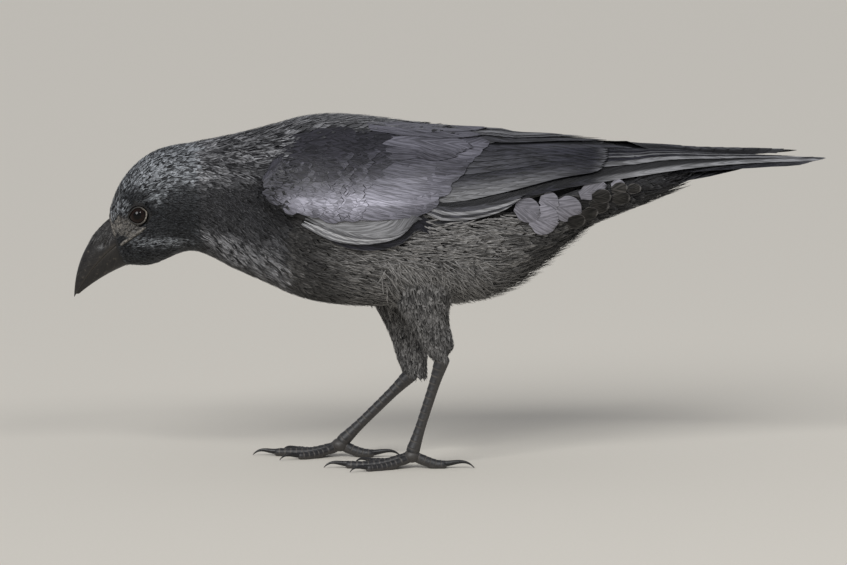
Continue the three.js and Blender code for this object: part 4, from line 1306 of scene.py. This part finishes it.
def tail_feathers():
    """Six pairs, from the outermost and lowest to the middle pair on top."""
    pair = np.repeat(np.arange(TAIL_PAIRS), 2)
    side = np.tile([-1, 1], TAIL_PAIRS)
    out = (TAIL_PAIRS - 1 - pair) / (TAIL_PAIRS - 1)  # 1 for the outermost
    along = shares(12, CROWD)[None]
    us = -0.05 + (1.04 - 0.055 * out[:, None] * 1.4) * along
    spread_root, spread_tip = 0.05 + 0.12 * out, 0.07 + 0.25 * out
    vs = 0.5 + side[:, None] * (spread_root[:, None] + (spread_tip - spread_root)[:, None] * along)
    shape = outline(along, 0.86, 0.4, 0.5)
    wide, narrow = 9.0 * shape, (4.5 + 3.5 * (1 - out[:, None])) * shape
    inner_is_plus = side[:, None] > 0
    plus, minus = np.where(inner_is_plus, narrow, wide), np.where(inner_is_plus, wide, narrow)
    lift = -0.15 - 0.42 * out[:, None] + 0.03 * side[:, None] + 0 * along
    return leaves(tail, us, vs, plus, minus, lift, 0.0 * out, 6, 0.03, 0.25)


# How far its roots lie below the tail, tip as a share of the tail, and number of feathers of each row.
UNDERTAIL_ROWS = ((-8, 0.64, 7), (-10, 0.56, 7), (-12, 0.5, 8), (-13, 0.44, 8))


def long_undertail_coverts():
    """Soft black feathers along the underside of the tail, each row shorter and lower than the one above it."""
    batches = []
    for drop, tip, number in UNDERTAIL_ROWS:
        along = shares(8, 1.2)[None]
        us = 0.12 + (tip * rng.uniform(0.92, 1.04, number)[:, None] - 0.12) * along
        vs = (0.5 + (np.arange(number) - (number - 1) / 2) * 0.09)[:, None] + 0 * along
        half = (5.0 * outline(along, 0.5, 0.8, 0.6)) + 0 * us
        lift = drop + (-2.6 - drop) * along + 0 * us
        slip = frayed(number, 8, 4, np.full(number, 40.0), 0.12)
        batches.append(leaves(tail, us, vs, half, half, lift, rng.random(number), 4, 0.05, 0.2, slip))
    return batches


plumage("tail_feathers", [tail_feathers()], QUILL, ["tail"])
plumage("undertail_coverts", long_undertail_coverts(), HACKLE)

# %% [markdown]
# ## Round rump feathers and loose barbs
#
# Where the wing's edge leaves the flank, six round feathers lie flat on each side, painted greyer than the
# rest for the sheen on them, with seven small ones behind and below them whose pale edges are painted sheen
# too. All over the bird the finest barbs stand apart from their feathers. They are made here as separate
# narrow leaves, and they are what turns a coat of tiles into plumage.

# %% Round feathers beside the rump
# Tip x, tip z, half width, length and how steeply it hangs. Each lies over those before it.
ROUND_FEATHERS = (
    (99, 166, 3.0, 8, 0.1), (90, 165, 4.8, 17, -0.1), (61, 156, 5.5, 12, 0.5), (73.5, 152.5, 7.5, 17, 0.5),
    (50.5, 150, 7.0, 16, 0.5), (61, 146, 8.5, 18, 0.4),
)
SCALLOPS = (
    (109, 163.5, 3.0, 9, 0.1), (101, 164, 3.5, 10, 0.1), (102, 158.5, 4.0, 11, 0.3), (90, 154.5, 5.0, 12, 0.4),
    (84, 150, 4.5, 11, 0.4), (76, 146, 5.0, 12, 0.5), (92, 160, 4.0, 12, 0.2),
)


RUMP_GIRTH, FLANK_GIRTH = 230.0, 260.0  # millimetres of one turn round the body there


def round_feathers(places, pale):
    """Round vanes that hang back and down, each over the one before it."""
    batches, steps, columns = [], 14, 12
    share = np.linspace(0, 1, steps + 1)[None]
    for side in SIDES.values():
        for k, (tip_x, tip_z, half, long_, droop) in enumerate(places):
            u, v = body.nearest(tip_x, tip_z, side)
            length = np.array([float(long_)])
            start = np.array([u - long_ * np.cos(droop) / SPINE_LENGTH])
            above = np.array([v - side * long_ * np.sin(droop) / RUMP_GIRTH])
            us, vs = walk(body, start, above, np.array([droop * side]), length, steps)
            shape = half * outline(share, 0.45, 0.5, 0.5)
            lift = 0.5 + 0.14 * k + 0.5 * share**0.8
            slip = frayed(1, steps, columns, length, 0.09)
            batches.append(leaves(body, us, vs, shape, shape, lift, rng.random(1), columns, 0.03, 0.2, slip, pale))
    return batches


plumage("round_rump_feathers", round_feathers(ROUND_FEATHERS, 0.12), RUMP_FEATHER)
plumage("scalloped_undertail_feathers", round_feathers(SCALLOPS, 0.0), SCALLOP)


# %% Loose barbs
BARB_STEPS = 3


def loose_barbs(surface, u, v, heading, length, half, rise, pale, sink=-0.4):
    """Narrow pointed leaves, each at most a millimetre wide, whose tips stand off the coat by rise."""
    count = len(u)
    us, vs = walk(surface, u, v, heading + rng.normal(0, 0.16, count), length * rng.uniform(0.75, 1.25, count),
                  BARB_STEPS, bend=rng.normal(0, 0.25, count))
    share = np.linspace(0, 1, BARB_STEPS + 1)
    shape = np.broadcast_to(half, (count,))[:, None] * outline(share, 0.3, 0.9, 0.5)
    lift = sink + (np.broadcast_to(rise, (count,)) * rng.uniform(0.5, 1.3, count) - sink)[:, None] * share
    return leaves(surface, us, vs, shape, shape, lift, rng.random(count), 2, 0.3, 0.12, pale=pale)


BARB_SPACING = ((-196, 1.2), (-150, 1.6), (-104, 2.1), (0, 2.6), (140, 3.0))
BARB_LENGTH = ((-196, 3.0), (-150, 6), (-104, 11), (0, 13), (140, 14))
BARB_HALF_WIDTH = ((-196, 0.26), (-150, 0.32), (-104, 0.42), (0, 0.46), (140, 0.5))
BARB_RISE = ((-196, 0.3), (-150, 0.5), (-104, 0.9), (0, 1.3), (140, 0.9))
BARB_PIECES = (
    ("head_barbs", -200, -150, HEAD_FEATHER), ("neck_barbs", -150, -100, HACKLE),
    ("breast_barbs", -100, -20, BODY_FEATHER), ("belly_barbs", -20, 72, BODY_FEATHER),
    ("rump_barbs", 72, 150, HACKLE), ("back_barbs", -100, 150, HACKLE),
)
barb_u, barb_v = root_rows(cloak, cloak_length, lambda x, u: by_x(x, BARB_SPACING))
barb_root, barb_back, _ = seen_from_side(cloak, barb_u, barb_v)
grown = where_coat_grows(barb_u, barb_v, 1.5)
grown &= ~((barb_root[:, 2] > shoulder_line(barb_root[:, 0])) & (barb_root[:, 0] > -98) & (barb_back > 0.1))
for tip_x, tip_z, half, long_, _ in ROUND_FEATHERS + SCALLOPS:
    disc = np.array([tip_x - 0.5 * long_, 0, tip_z])
    grown &= np.linalg.norm((barb_root - disc) * (0.7, 0, 1), axis=1) > half * 0.95
barb_u, barb_v, barb_root, barb_back = barb_u[grown], barb_v[grown], barb_root[grown], barb_back[grown]
barb_side = np.where(barb_v < 0.5, RIGHT, LEFT)
barb_heading = body_heading(barb_root[:, 0], barb_back, barb_side)
on_top = (barb_back < 0.3) & (barb_root[:, 0] > -100)
for name, start, end, material in BARB_PIECES:
    chosen = (barb_root[:, 0] >= start) & (barb_root[:, 0] < end) & (on_top if name == "back_barbs" else ~on_top)
    x = barb_root[chosen, 0]
    # Under the rear of the belly the barbs hang out further, as a fringe.
    fringe = 3.2 * ramp(x, 0, 30) * (1 - ramp(x, 60, 75)) * ramp(barb_back[chosen], 0.7, 0.9)
    # The barbs' paleness is painted sheen, by place.
    batch = loose_barbs(
        cloak if end <= -100 or name == "back_barbs" else body, barb_u[chosen], barb_v[chosen],
        barb_heading[chosen], by_x(x, BARB_LENGTH), by_x(x, BARB_HALF_WIDTH), by_x(x, BARB_RISE) + fringe,
        painted_glints(x, barb_root[chosen, 2], barb_back[chosen], BARB_POWER),
    )
    plumage(name, [batch], material)


HIP_REACH, HIP_LOW, HIP_HIGH = 26, 96, 124  # how far from the hip along the bird, and the heights between


def flank_wisps(side, thigh):
    """Loose barbs that hang from the flank over the top of a thigh, so that the two coats run together."""
    hip_x = thigh.points[THIGH_ROWS // 3, :, 0].mean()
    near = (np.abs(barb_root[:, 0] - hip_x) < HIP_REACH) & (barb_side == side)
    near &= (barb_root[:, 2] > HIP_LOW) & (barb_root[:, 2] < HIP_HIGH)
    near = np.repeat(np.flatnonzero(near), 3)
    u = barb_u[near] + rng.normal(0, 2, len(near)) / SPINE_LENGTH
    v = barb_v[near] + rng.normal(0, 2, len(near)) / FLANK_GIRTH
    heading = side * rng.normal(0.95, 0.3, len(near))
    # Painted sheen, as on the barbs round them.
    pale = painted_glints(barb_root[near, 0], barb_root[near, 2], barb_back[near], BARB_POWER)
    return loose_barbs(body, u, v, heading, 15.0, 0.42, 3.0, pale)


plumage("flank_wisps", [flank_wisps(side, thighs[name]) for name, side in SIDES.items()], BODY_FEATHER)

# %% [markdown]
# ## Feathered thighs
#
# The thigh's feathers are short and fuzzy and point down to the heel, where they end in a ragged cuff.

# %% Coat of the thighs
BARE_TOP = 0.22  # the share of the thigh that lies inside the flank and grows nothing


def thigh_coat(name):
    """Short round feathers down one thigh, and loose barbs between them."""
    thigh = thighs[name]
    around = np.linalg.norm(np.roll(thigh.points, -1, 1) - thigh.points, axis=-1)
    u, v = root_rows(thigh, around, lambda x, share: 3.6 - 1.2 * share)
    u, v = u[u > BARE_TOP], v[u > BARE_TOP]
    count = len(u)
    length = (12 - 5 * u) * rng.uniform(0.85, 1.15, count)
    us, vs = walk(thigh, u, v, rng.normal(0, 0.12, count), length, 4, bend=rng.normal(0, 0.1, count))
    share = np.linspace(0, 1, 5)
    half = ((2.6 - 1.0 * u) * rng.uniform(0.85, 1.15, count))[:, None] * outline(share, 0.65, 0.45)
    lift = -1.4 + (0.5 + 1.4) * share[None] ** 0.75 + 0 * u[:, None]
    # The thigh's feathers and barbs get a random painted sheen.
    coat = leaves(thigh, us, vs, half, half, lift, rng.random(count), 4, 0.1, 0.14,
                  frayed(count, 4, 4, length, 0.3), rng.random(count) ** 0.8)
    u, v = root_rows(thigh, around, lambda x, share: 2.2 - 0.7 * share)
    u, v = u[u > BARE_TOP], v[u > BARE_TOP]
    return [coat, loose_barbs(thigh, u, v, 0 * u, 9 - 3 * u, 0.4, 0.9, rng.random(len(u)) * 0.8)]


for name in SIDES:
    plumage(f"thigh_feathers_{name}", thigh_coat(name), BODY_FEATHER)

# %% [markdown]
# ## The bill
#
# Each half is a horn sheath carried along two curves: the ridge and the cutting edge. A cross-section is a
# quarter circle on each side. Near the corner of the mouth the edge flares out to meet the cheek, so that
# the line of the mouth runs on into the face. Stiff bristles lie over the nostrils.

# %% Two halves of horn
CULMEN = ((29.1, 51.7), (0.6, 34.5), (0.0, 0.0))  # x and z from the tip
TOMIUM = ((36.1, 39.0), (15.1, 28.9), (0.0, 0.0))
GONYS = ((41.1, 22.7), (20.0, 16.8), (2.6, 2.0))
LOWER_EDGE = ((36.5, 38.2), (15.5, 28.6), (0.7, 1.7))
BILL_HALF_WIDTH, TIP_HALF_WIDTH, GAPE_FLARE = 9.2, 0.45, 6.0
NOSTRIL = BILL_TIP + (17.3, 0, 33)


def curve(corners, t):
    """A quadratic curve: each corner weighted by (1-t)^2, 2t(1-t) and t^2."""
    a, b, c = np.array(corners)
    return a * (1 - t[:, None]) ** 2 + 2 * b * (t * (1 - t))[:, None] + c * t[:, None] ** 2


def bill_half(ridge, edge, slim):
    """Rings from the base to the tip: out = sin a, up = cos a down the side, then in under the cutting edge."""
    t = np.linspace(-0.08, 0.99, 110)
    top, low = curve(ridge, t), curve(edge, t)
    a = np.linspace(0, np.pi / 2, 24)
    out = np.concatenate([np.sin(a), [0.96, 0.8, 0.5, 0.0]])
    up = np.concatenate([np.cos(a), [-0.02, 0.0, 0.05, 0.08]])
    out, up = np.concatenate([out, -out[-2:0:-1]]), np.concatenate([up, up[-2:0:-1]])
    half = slim * BILL_HALF_WIDTH * (1 - np.maximum(t, 0) ** 1.7) + TIP_HALF_WIDTH
    flare = GAPE_FLARE * (1 - ramp(t, -0.05, 0.3))
    y = half[:, None] * out + flare[:, None] * hill(up / 0.2) * np.sign(out) * np.abs(out) ** 0.5
    place = low[:, None] + (top - low)[:, None] * up[None, :, None]
    ring = np.stack([BILL_TIP[0] + place[..., 0], y, BILL_TIP[2] + place[..., 1]], axis=-1)
    slant = (ring - NOSTRIL) * (1, 0, 1)
    along = slant[..., 0] * 0.5 + slant[..., 2] * 0.87
    across = slant[..., 0] * 0.87 - slant[..., 2] * 0.5
    dent = 1.4 * hill(along / 3.0, across / 1.5)
    ring[..., 1] -= np.sign(y) * np.minimum(dent, np.abs(y) * 0.3)
    # Paler along the cutting edges: partly wear, partly a painted highlight of the edge. The ridge's tip is worn
    # paler.
    worn = hill(up[None] / 0.07) * 0.12 + 0.3 * ramp(t, 0.8, 1)[:, None] * (up[None] > 0.9)
    return ring, worn * ramp(t, 0.0, 0.2)[:, None]


def bill_piece(name, ridge, edge, slim, node):
    """One half of the bill, with a map in millimetres along it and around it, and its surface."""
    ring, worn = bill_half(ridge, edge, slim)
    along = np.linalg.norm(np.diff(ring[:, :1], axis=0), axis=-1).cumsum(0)
    along = np.concatenate([[[0]], along]) + np.zeros(ring.shape[:2])
    around = np.linalg.norm(np.roll(ring, -1, 1) - ring, axis=-1).cumsum(1)
    uv = np.concatenate([np.stack([along, around], axis=-1).reshape(-1, 2), np.zeros((2, 2))])
    piece(name, BILL_HORN, tube(ring, worn=worn) | {"uvs": {"horn": uv}}, "bill", [node])
    return Surface(ring, True, ring.mean(1, keepdims=True))


upper_bill = bill_piece("upper_bill", CULMEN, TOMIUM, 1.0, "bill_upper")
lower_bill = bill_piece("lower_bill", GONYS, LOWER_EDGE, 0.93, "bill_lower")


# %% Bristles over the nostrils
NOSTRIL_BRISTLES, FACE_BRISTLES = 2000, 4200  # how many are tried


def bristles():
    """Stiff forward hairs of feather: rooted round the bill's base, over the nostrils and on the chin."""
    count = NOSTRIL_BRISTLES
    over = rng.random(count) < 0.7
    u = np.where(over, rng.uniform(0.08, 0.34, count), rng.uniform(0.04, 0.2, count))
    v = np.where(over, rng.uniform(-0.3, 0.3, count), rng.uniform(-0.3, 0.3, count))
    u = u - 0.35 * over * np.maximum(np.abs(v) - 0.16, 0)
    batches = []
    for surface, chosen, reach in ((upper_bill, over, (5, 10.5)), (lower_bill, ~over, (3, 6))):
        number = chosen.sum()
        # A few bristles are paler, as painted glints.
        batches.append(loose_barbs(
            surface, u[chosen], v[chosen] % 1, rng.normal(0, 0.15, number), rng.uniform(*reach, number),
            rng.uniform(0.22, 0.4, number), 0.55, 0.4 * rng.random(number) ** 2,
        ))
    return batches


def face_bristles():
    """Sparse short hairs of feather on the bare skin between eye and bill: about half black and half pale."""
    u, v = rng.uniform(0, 0.14, FACE_BRISTLES), rng.uniform(0.12, 0.88, FACE_BRISTLES)
    point = body.at(u, v)[0]
    chosen = (bare_face(point) > 0.3) & (from_eyes(point) > EYE_RADIUS + 0.5)
    u, v = u[chosen], v[chosen]
    return loose_barbs(
        body, u, v, rng.normal(0, 0.5, len(u)), rng.uniform(1.4, 3.4, len(u)), rng.uniform(0.1, 0.2, len(u)), 0.5,
        0.9 * (rng.random(len(u)) > 0.45), sink=-1.2,
    )


plumage("nostril_bristles", [*bristles(), face_bristles()], BODY_FEATHER)

# %% [markdown]
# ## The eyes
#
# A crow's eye is nearly all iris, so dark that the pupil hardly shows, under a wet bulge of cornea. The lids
# end in a bare grey rim with a pointed corner towards the bill.

# %% Eyeballs and lids
# Degrees from the middle of the eye to the lid's rim and to the iris's edge, and how wide the rim is.
OPENING, LIMBUS, RIM_WIDTH = 45.0, 50.0, 4.0


def eye_axes(side):
    """Out of the eye, towards the bill, and up."""
    out = unit(np.array([-0.16, side, 0.04]))
    ahead = np.array([-1.0, 0.0, -0.35])
    ahead = unit(ahead - out * dot(ahead, out))
    upward = np.cross(out, ahead) * side
    return out, ahead, upward


def about_eye(name, angle, turned, radius):
    """Points at an angle from the eye's axis, turned about it from the bill's side upwards, at a radius."""
    out, ahead, upward = (axis[None, None] for axis in eye_axes(SIDES[name]))
    flat = np.cos(turned)[..., None] * ahead + np.sin(turned)[..., None] * upward
    spot = np.cos(angle)[..., None] * out + np.sin(angle)[..., None] * flat
    return EYES[name] + radius[..., None] * spot


def eyeball(name):
    """A ball with the bulge of the cornea. ring is 0 on its axis, 1 at the iris's edge and 1.3 behind."""
    turns = np.linspace(0, 2 * np.pi, 72)[:-1]
    angle, turned = np.meshgrid(np.radians(np.linspace(1, 179, 72)), turns, indexing="ij")
    radius = EYE_RADIUS - 0.1 + 0.35 * hill(angle / 0.62)
    ring = np.where(angle < np.pi / 2, np.sin(angle) / np.sin(np.radians(LIMBUS)), 1.3)
    ball = tube(about_eye(name, angle, turned, radius), (0, 1.3), ring=ring)
    piece(f"eyeball_{name}", EYE_LOOK, ball, "eye", [f"eye_{name}"])


def gap_round(turned, place, width):
    """1 at a place round the eye, falling off over width, in radians."""
    away = np.angle(np.exp(1j * (turned - place)))
    return hill(away / width)


def lids(name):
    """A ring round the eye: out from the rim over a rounded fold, then back under it against the eyeball."""
    turned, s = np.meshgrid(np.linspace(0, 2 * np.pi, 145)[:-1], np.linspace(0, 1, 29)[:-1], indexing="ij")
    rim = OPENING + 13 * gap_round(turned, 0, 0.34) + 5 * gap_round(turned, np.pi, 0.3)
    rim = rim - 9 * gap_round(turned, 1.1, 0.8)
    outward = np.where(s < 0.5, 2 * s, 2 - 2 * s)  # 0 at the rim and 1 at the outer edge
    fold = np.sin(np.pi * np.minimum(outward * 0.93 + 0.05, 1)) ** 0.7
    pleat = 0.07 * np.sin(outward * 15) + 0.05 * np.sin(turned * 34 + 3 * np.sin(turned * 5))
    radius = np.where(s < 0.5, EYE_RADIUS + 0.12 + 0.75 * fold - 0.9 * ramp(outward, 0.6, 1) + pleat * fold,
                      EYE_RADIUS + 0.08 - 1.0 * ramp(outward, 0.4, 1))
    angle = np.radians(rim + (RIM_WIDTH + 5) * outward)
    grid = about_eye(name, angle, turned, radius)
    rows, columns = s.shape
    index = np.arange(rows * columns).reshape(rows, columns)
    right = np.roll(index, -1, 1)
    faces = np.stack([index, right, np.roll(right, -1, 0), np.roll(index, -1, 0)], axis=-1).reshape(-1, 4)
    middle = grid.mean(1)[:, None]
    normal = np.cross(grid[:, 1] - grid[:, 0], np.roll(grid[:, 0], -1, 0) - grid[:, 0])
    if dot(normal, grid[:, 0] - middle[:, 0]).sum() < 0:
        faces = faces[:, ::-1]
    bare = (0.05 + 0.95 * gap_round(turned, -2.8, 1.0)) * (1 - ramp(outward, 0.5, 0.75))
    shape = {"points": grid.reshape(-1, 3), "faces": faces, "values": {"bare": bare.reshape(-1)}}
    piece(f"lids_{name}", LID_SKIN, shape, "eye")


for name in SIDES:
    eyeball(name)
    lids(name)
print("eye radius", EYE_RADIUS, "centre", EYES["left"].round(1))

# %% [markdown]
# ## Legs and feet
#
# Below the heel a leg is bone and sinew in a sleeve of horn. Broad plates overlap down its front and over
# the toes, small ones cover the soles, and the toes swell into pads. The middle line and the thickness of
# each part are read from its solid.

# %% The middle line of a limb
def limb(node, start, rows):
    """Points along the middle of a long solid from the end nearest to start, and how far along each one is.

    The solid's corners are sorted along its longest direction, and cubic curves are fitted through them.
    """
    p = points_of(node)
    centre = p.mean(0)
    axis = np.linalg.svd(p - centre)[2][0]
    t = (p - centre) @ axis
    if np.linalg.norm(centre + axis * t.min() - start) > np.linalg.norm(centre + axis * t.max() - start):
        axis, t = -axis, -t
    edges = np.linspace(t.min(), t.max() + 1e-6, 12)
    bins = np.digitize(t, edges)
    used = [k for k in np.unique(bins) if (bins == k).sum() > 3]
    at = np.array([t[bins == k].mean() for k in used])
    low = np.array([p[bins == k].min(0) for k in used])
    high = np.array([p[bins == k].max(0) for k in used])
    steps = np.linspace(t.min(), t.max(), rows)
    degree = min(3, len(used) - 1)
    middle = np.stack([np.polyval(np.polyfit(at, (low + high)[:, k] / 2, degree), steps) for k in range(3)], axis=1)
    return middle, steps - steps[0]


def thickness(node, middle):
    """The radius of a solid round its middle line: the distance of its corners, averaged along the line."""
    away = np.linalg.norm(points_of(node)[:, None] - middle[None], axis=-1)
    nearest, radius, rows = away.argmin(1), away.min(1), len(middle)
    weight = hill((np.arange(rows)[:, None] - nearest[None]) / (rows / 9))
    return (weight * radius).sum(1) / weight.sum(1)


def domed(along, reach):
    """1 along a limb, and falling to 0 in a quarter circle over its first and last stretch of length reach."""
    from_end = np.minimum(along, along[-1] - along)
    return np.sqrt(np.clip(1 - (1 - np.clip(from_end / reach, 0, 1)) ** 2, 0.01, 1))


KNUCKLE_SIZE, KNUCKLE_PLACE = (4.8, 4.4, 4.0), (0.3, 0, -0.2)  # half its sizes, and its place from the foot
PLATE_STEP = 0.24  # how far a plate's lower edge stands off the next plate
ROOT_BEND = 9.0  # the first stretch of a toe, which bends over to the knuckle


def knuckle(centre):
    """A ball of soft skin that joins the shank to the toes: x, y and z are its size times the unit sphere's."""
    heights, turns = np.linspace(-1, 1, 24)[1:-1] * np.pi / 2, np.linspace(0, 2 * np.pi, 33)[:-1]
    up, turned = np.meshgrid(heights, turns, indexing="ij")
    ball = np.stack([np.sin(up), np.cos(up) * np.cos(turned), np.cos(up) * np.sin(turned)], axis=-1)
    return tube(centre + ball * KNUCKLE_SIZE, (0.3, 0.3), joint=np.full(up.shape, 0.3))


def sleeve(node, start, front, plate, rows, pads=0.0, columns=26, root=None):
    """A scaly tube round a limb. Plates widen to their lower edge, by the square of the share along each.

    Where a root is given, the first stretch of the limb bends over to start there.
    """
    middle, along = limb(node, start, rows)
    if root is not None:
        middle = middle + (root - middle[0]) * (1 - ramp(along, 0, ROOT_BEND))[:, None]
    radius = thickness(node, middle)
    ahead = unit(np.gradient(middle, axis=0))
    front = np.array(front, float)
    up = unit(front - ahead * dot(front, ahead)[:, None])
    aside = np.cross(ahead, up)
    turned = full_turn(columns)
    count = max(2, round(along[-1] / plate))
    phase = along / along[-1] * count
    share = phase % 1
    face = ramp(np.cos(turned), -0.35, 0.1)[None]
    ridge = PLATE_STEP * share[:, None] ** 2 * face
    small = 0.14 * np.abs(np.sin(phase * 2.5 * np.pi)[:, None] * np.sin(turned * 5)[None]) * (1 - face)
    pad = pads * np.sin(np.pi * (phase / 2.5 % 1))[:, None] ** 2 * ramp(-np.cos(turned), 0.2, 0.9)[None]
    r = radius[:, None] + ridge + small + pad - PLATE_STEP * 0.4
    r = r * domed(along, radius.mean())[:, None]
    grid = middle[:, None] + r[..., None] * circle(turned, up[:, None], aside[:, None])
    grid[..., 2] = np.maximum(grid[..., 2], 0.05)
    joint = (1 - ramp(share, 0.0, 0.22))[:, None] * face * 0.8 + (1 - face) * 0.25 * np.ones((rows, 1))
    return tube(grid, joint=joint)


# %% Shanks, toes and claws
TOES = ("middle", "outer", "inner", "hind")
CLAW_OVERLAP = 1.8  # how far a claw's base reaches back into its toe


def claw(node, start):
    """A curved cone of horn along its solid's middle line, with a little overlap into the toe."""
    rows = 24
    middle, _ = limb(node, start, rows)
    taper = np.linspace(1, 0.06, rows) ** 0.8 * thickness(node, middle)[:5].mean() * 0.96
    ahead = unit(np.gradient(middle, axis=0))
    middle = middle - ahead * CLAW_OVERLAP * np.linspace(1, 0, rows)[:, None]
    up = unit(np.array([0, 0, 1.0]) - ahead * ahead[:, 2:])
    aside = np.cross(ahead, up)
    grid = middle[:, None] + taper[:, None, None] * circle(full_turn(16), up[:, None], aside[:, None], 0.75)
    grid[..., 2] = np.maximum(grid[..., 2], 0.1)
    return tube(grid, worn=np.zeros(grid.shape[:2]))


def leg(name):
    """The scaly shank, toes and knuckle of one leg as one piece, and its four claws as another."""
    heel, foot = ends_of(f"shank_{name}")
    joint_at = foot + KNUCKLE_PLACE
    toes, tips = ([f"{part}_{toe}_{name}" for toe in TOES] for part in ("toe", "claw"))
    parts = [sleeve(f"shank_{name}", heel, (-1, 0, 0.3), 4.4, 150, columns=32)]
    parts += [sleeve(toe, foot, (0, 0, 1), 3.2, 90, pads=0.5, root=joint_at) for toe in toes]
    scales = joined(parts + [knuckle(joint_at)])
    piece(f"leg_scales_{name}", SCALES, scales, "scales", [f"shank_{name}", *toes])
    claws = joined([claw(tip, foot) for tip in tips])
    claws["uvs"] = {"horn": claws["points"][:, [0, 2]]}
    piece(f"claws_{name}", CLAW_HORN, claws, "claw", tips)
    print("leg", name, "triangles", len(scales["faces"]) + len(claws["faces"]))


for name in SIDES:
    leg(name)

# %% [markdown]
# ## The stage
#
# A long lens from far away keeps the bird's proportions as they are. The light is a pale room and one soft
# sun from the front and above, so that the plumage keeps the colours it was given. A small square lamp, high
# on the side of the tail, adds the gloss.

# %% Floor, lamps and camera
FLOOR_HALF_WIDTH = 9000.0


def stage_floor():
    """A wide sheet of pale paper."""
    look = Look("matt pale paper", roughness=0.9, specular_ior_level=0.2)
    look.paint(look.noise(look.place(), 500.0, 3.0), "#d3cec3", "#d8d3c9")  # paper fibre, 2 mm
    corners = FLOOR_HALF_WIDTH * np.array([(-1, -1, 0), (1, -1, 0), (1, 1, 0), (-1, 1, 0)])
    floor = piece("floor", look.material, {"points": corners, "faces": np.array([[0, 1, 2, 3]])})


def placed(name, data, place, backwards):
    """An object for a light or a camera at a place, with its back turned in a direction."""
    thing = bpy.data.objects.new(name, data)
    thing.location = place
    thing.rotation_euler = Vector(backwards).to_track_quat("Z", "Y").to_euler()
    bpy.context.scene.collection.objects.link(thing)
    return thing


def studio():
    """A pale room, a soft sun as the key light from the front and above, and a lamp for the gloss."""
    world = bpy.data.worlds.new("pale room")
    bpy.context.scene.world = world
    world.use_nodes = True
    background = world.node_tree.nodes["Background"]
    background.inputs[0].default_value = linear("#e6e8ee")
    background.inputs[1].default_value = 0.5
    sun = bpy.data.lights.new("soft key", "SUN")
    sun.energy, sun.angle = 2.1, 0.5
    placed("soft key", sun, (0, 0, 0), (-0.5, -1.0, 0.72))
    strip = bpy.data.lights.new("gloss strip", "AREA")
    strip.shape, strip.size, strip.energy = "SQUARE", 0.4, 7
    place, aim = Vector((0.55, -1.5, 1.5)), Vector((-0.05, 0, 0.13))
    placed("gloss strip", strip, place, place - aim)


def long_lens():
    """A camera on the bird's left, 7.5 degrees above its middle and 5.46 m away."""
    aim, height, distance = Vector((-0.0165, 0, 0.1056)), np.radians(7.5), 5.46
    lens = bpy.data.cameras.new("long lens")
    lens.lens, lens.sensor_width, lens.clip_end = 400, 36, 50
    away = Vector((0, -np.cos(height), np.sin(height))) * distance
    bpy.context.scene.camera = placed("long lens", lens, aim + away, away)


stage_floor()
studio()
long_lens()
bpy.context.scene.view_settings.view_transform = "Standard"
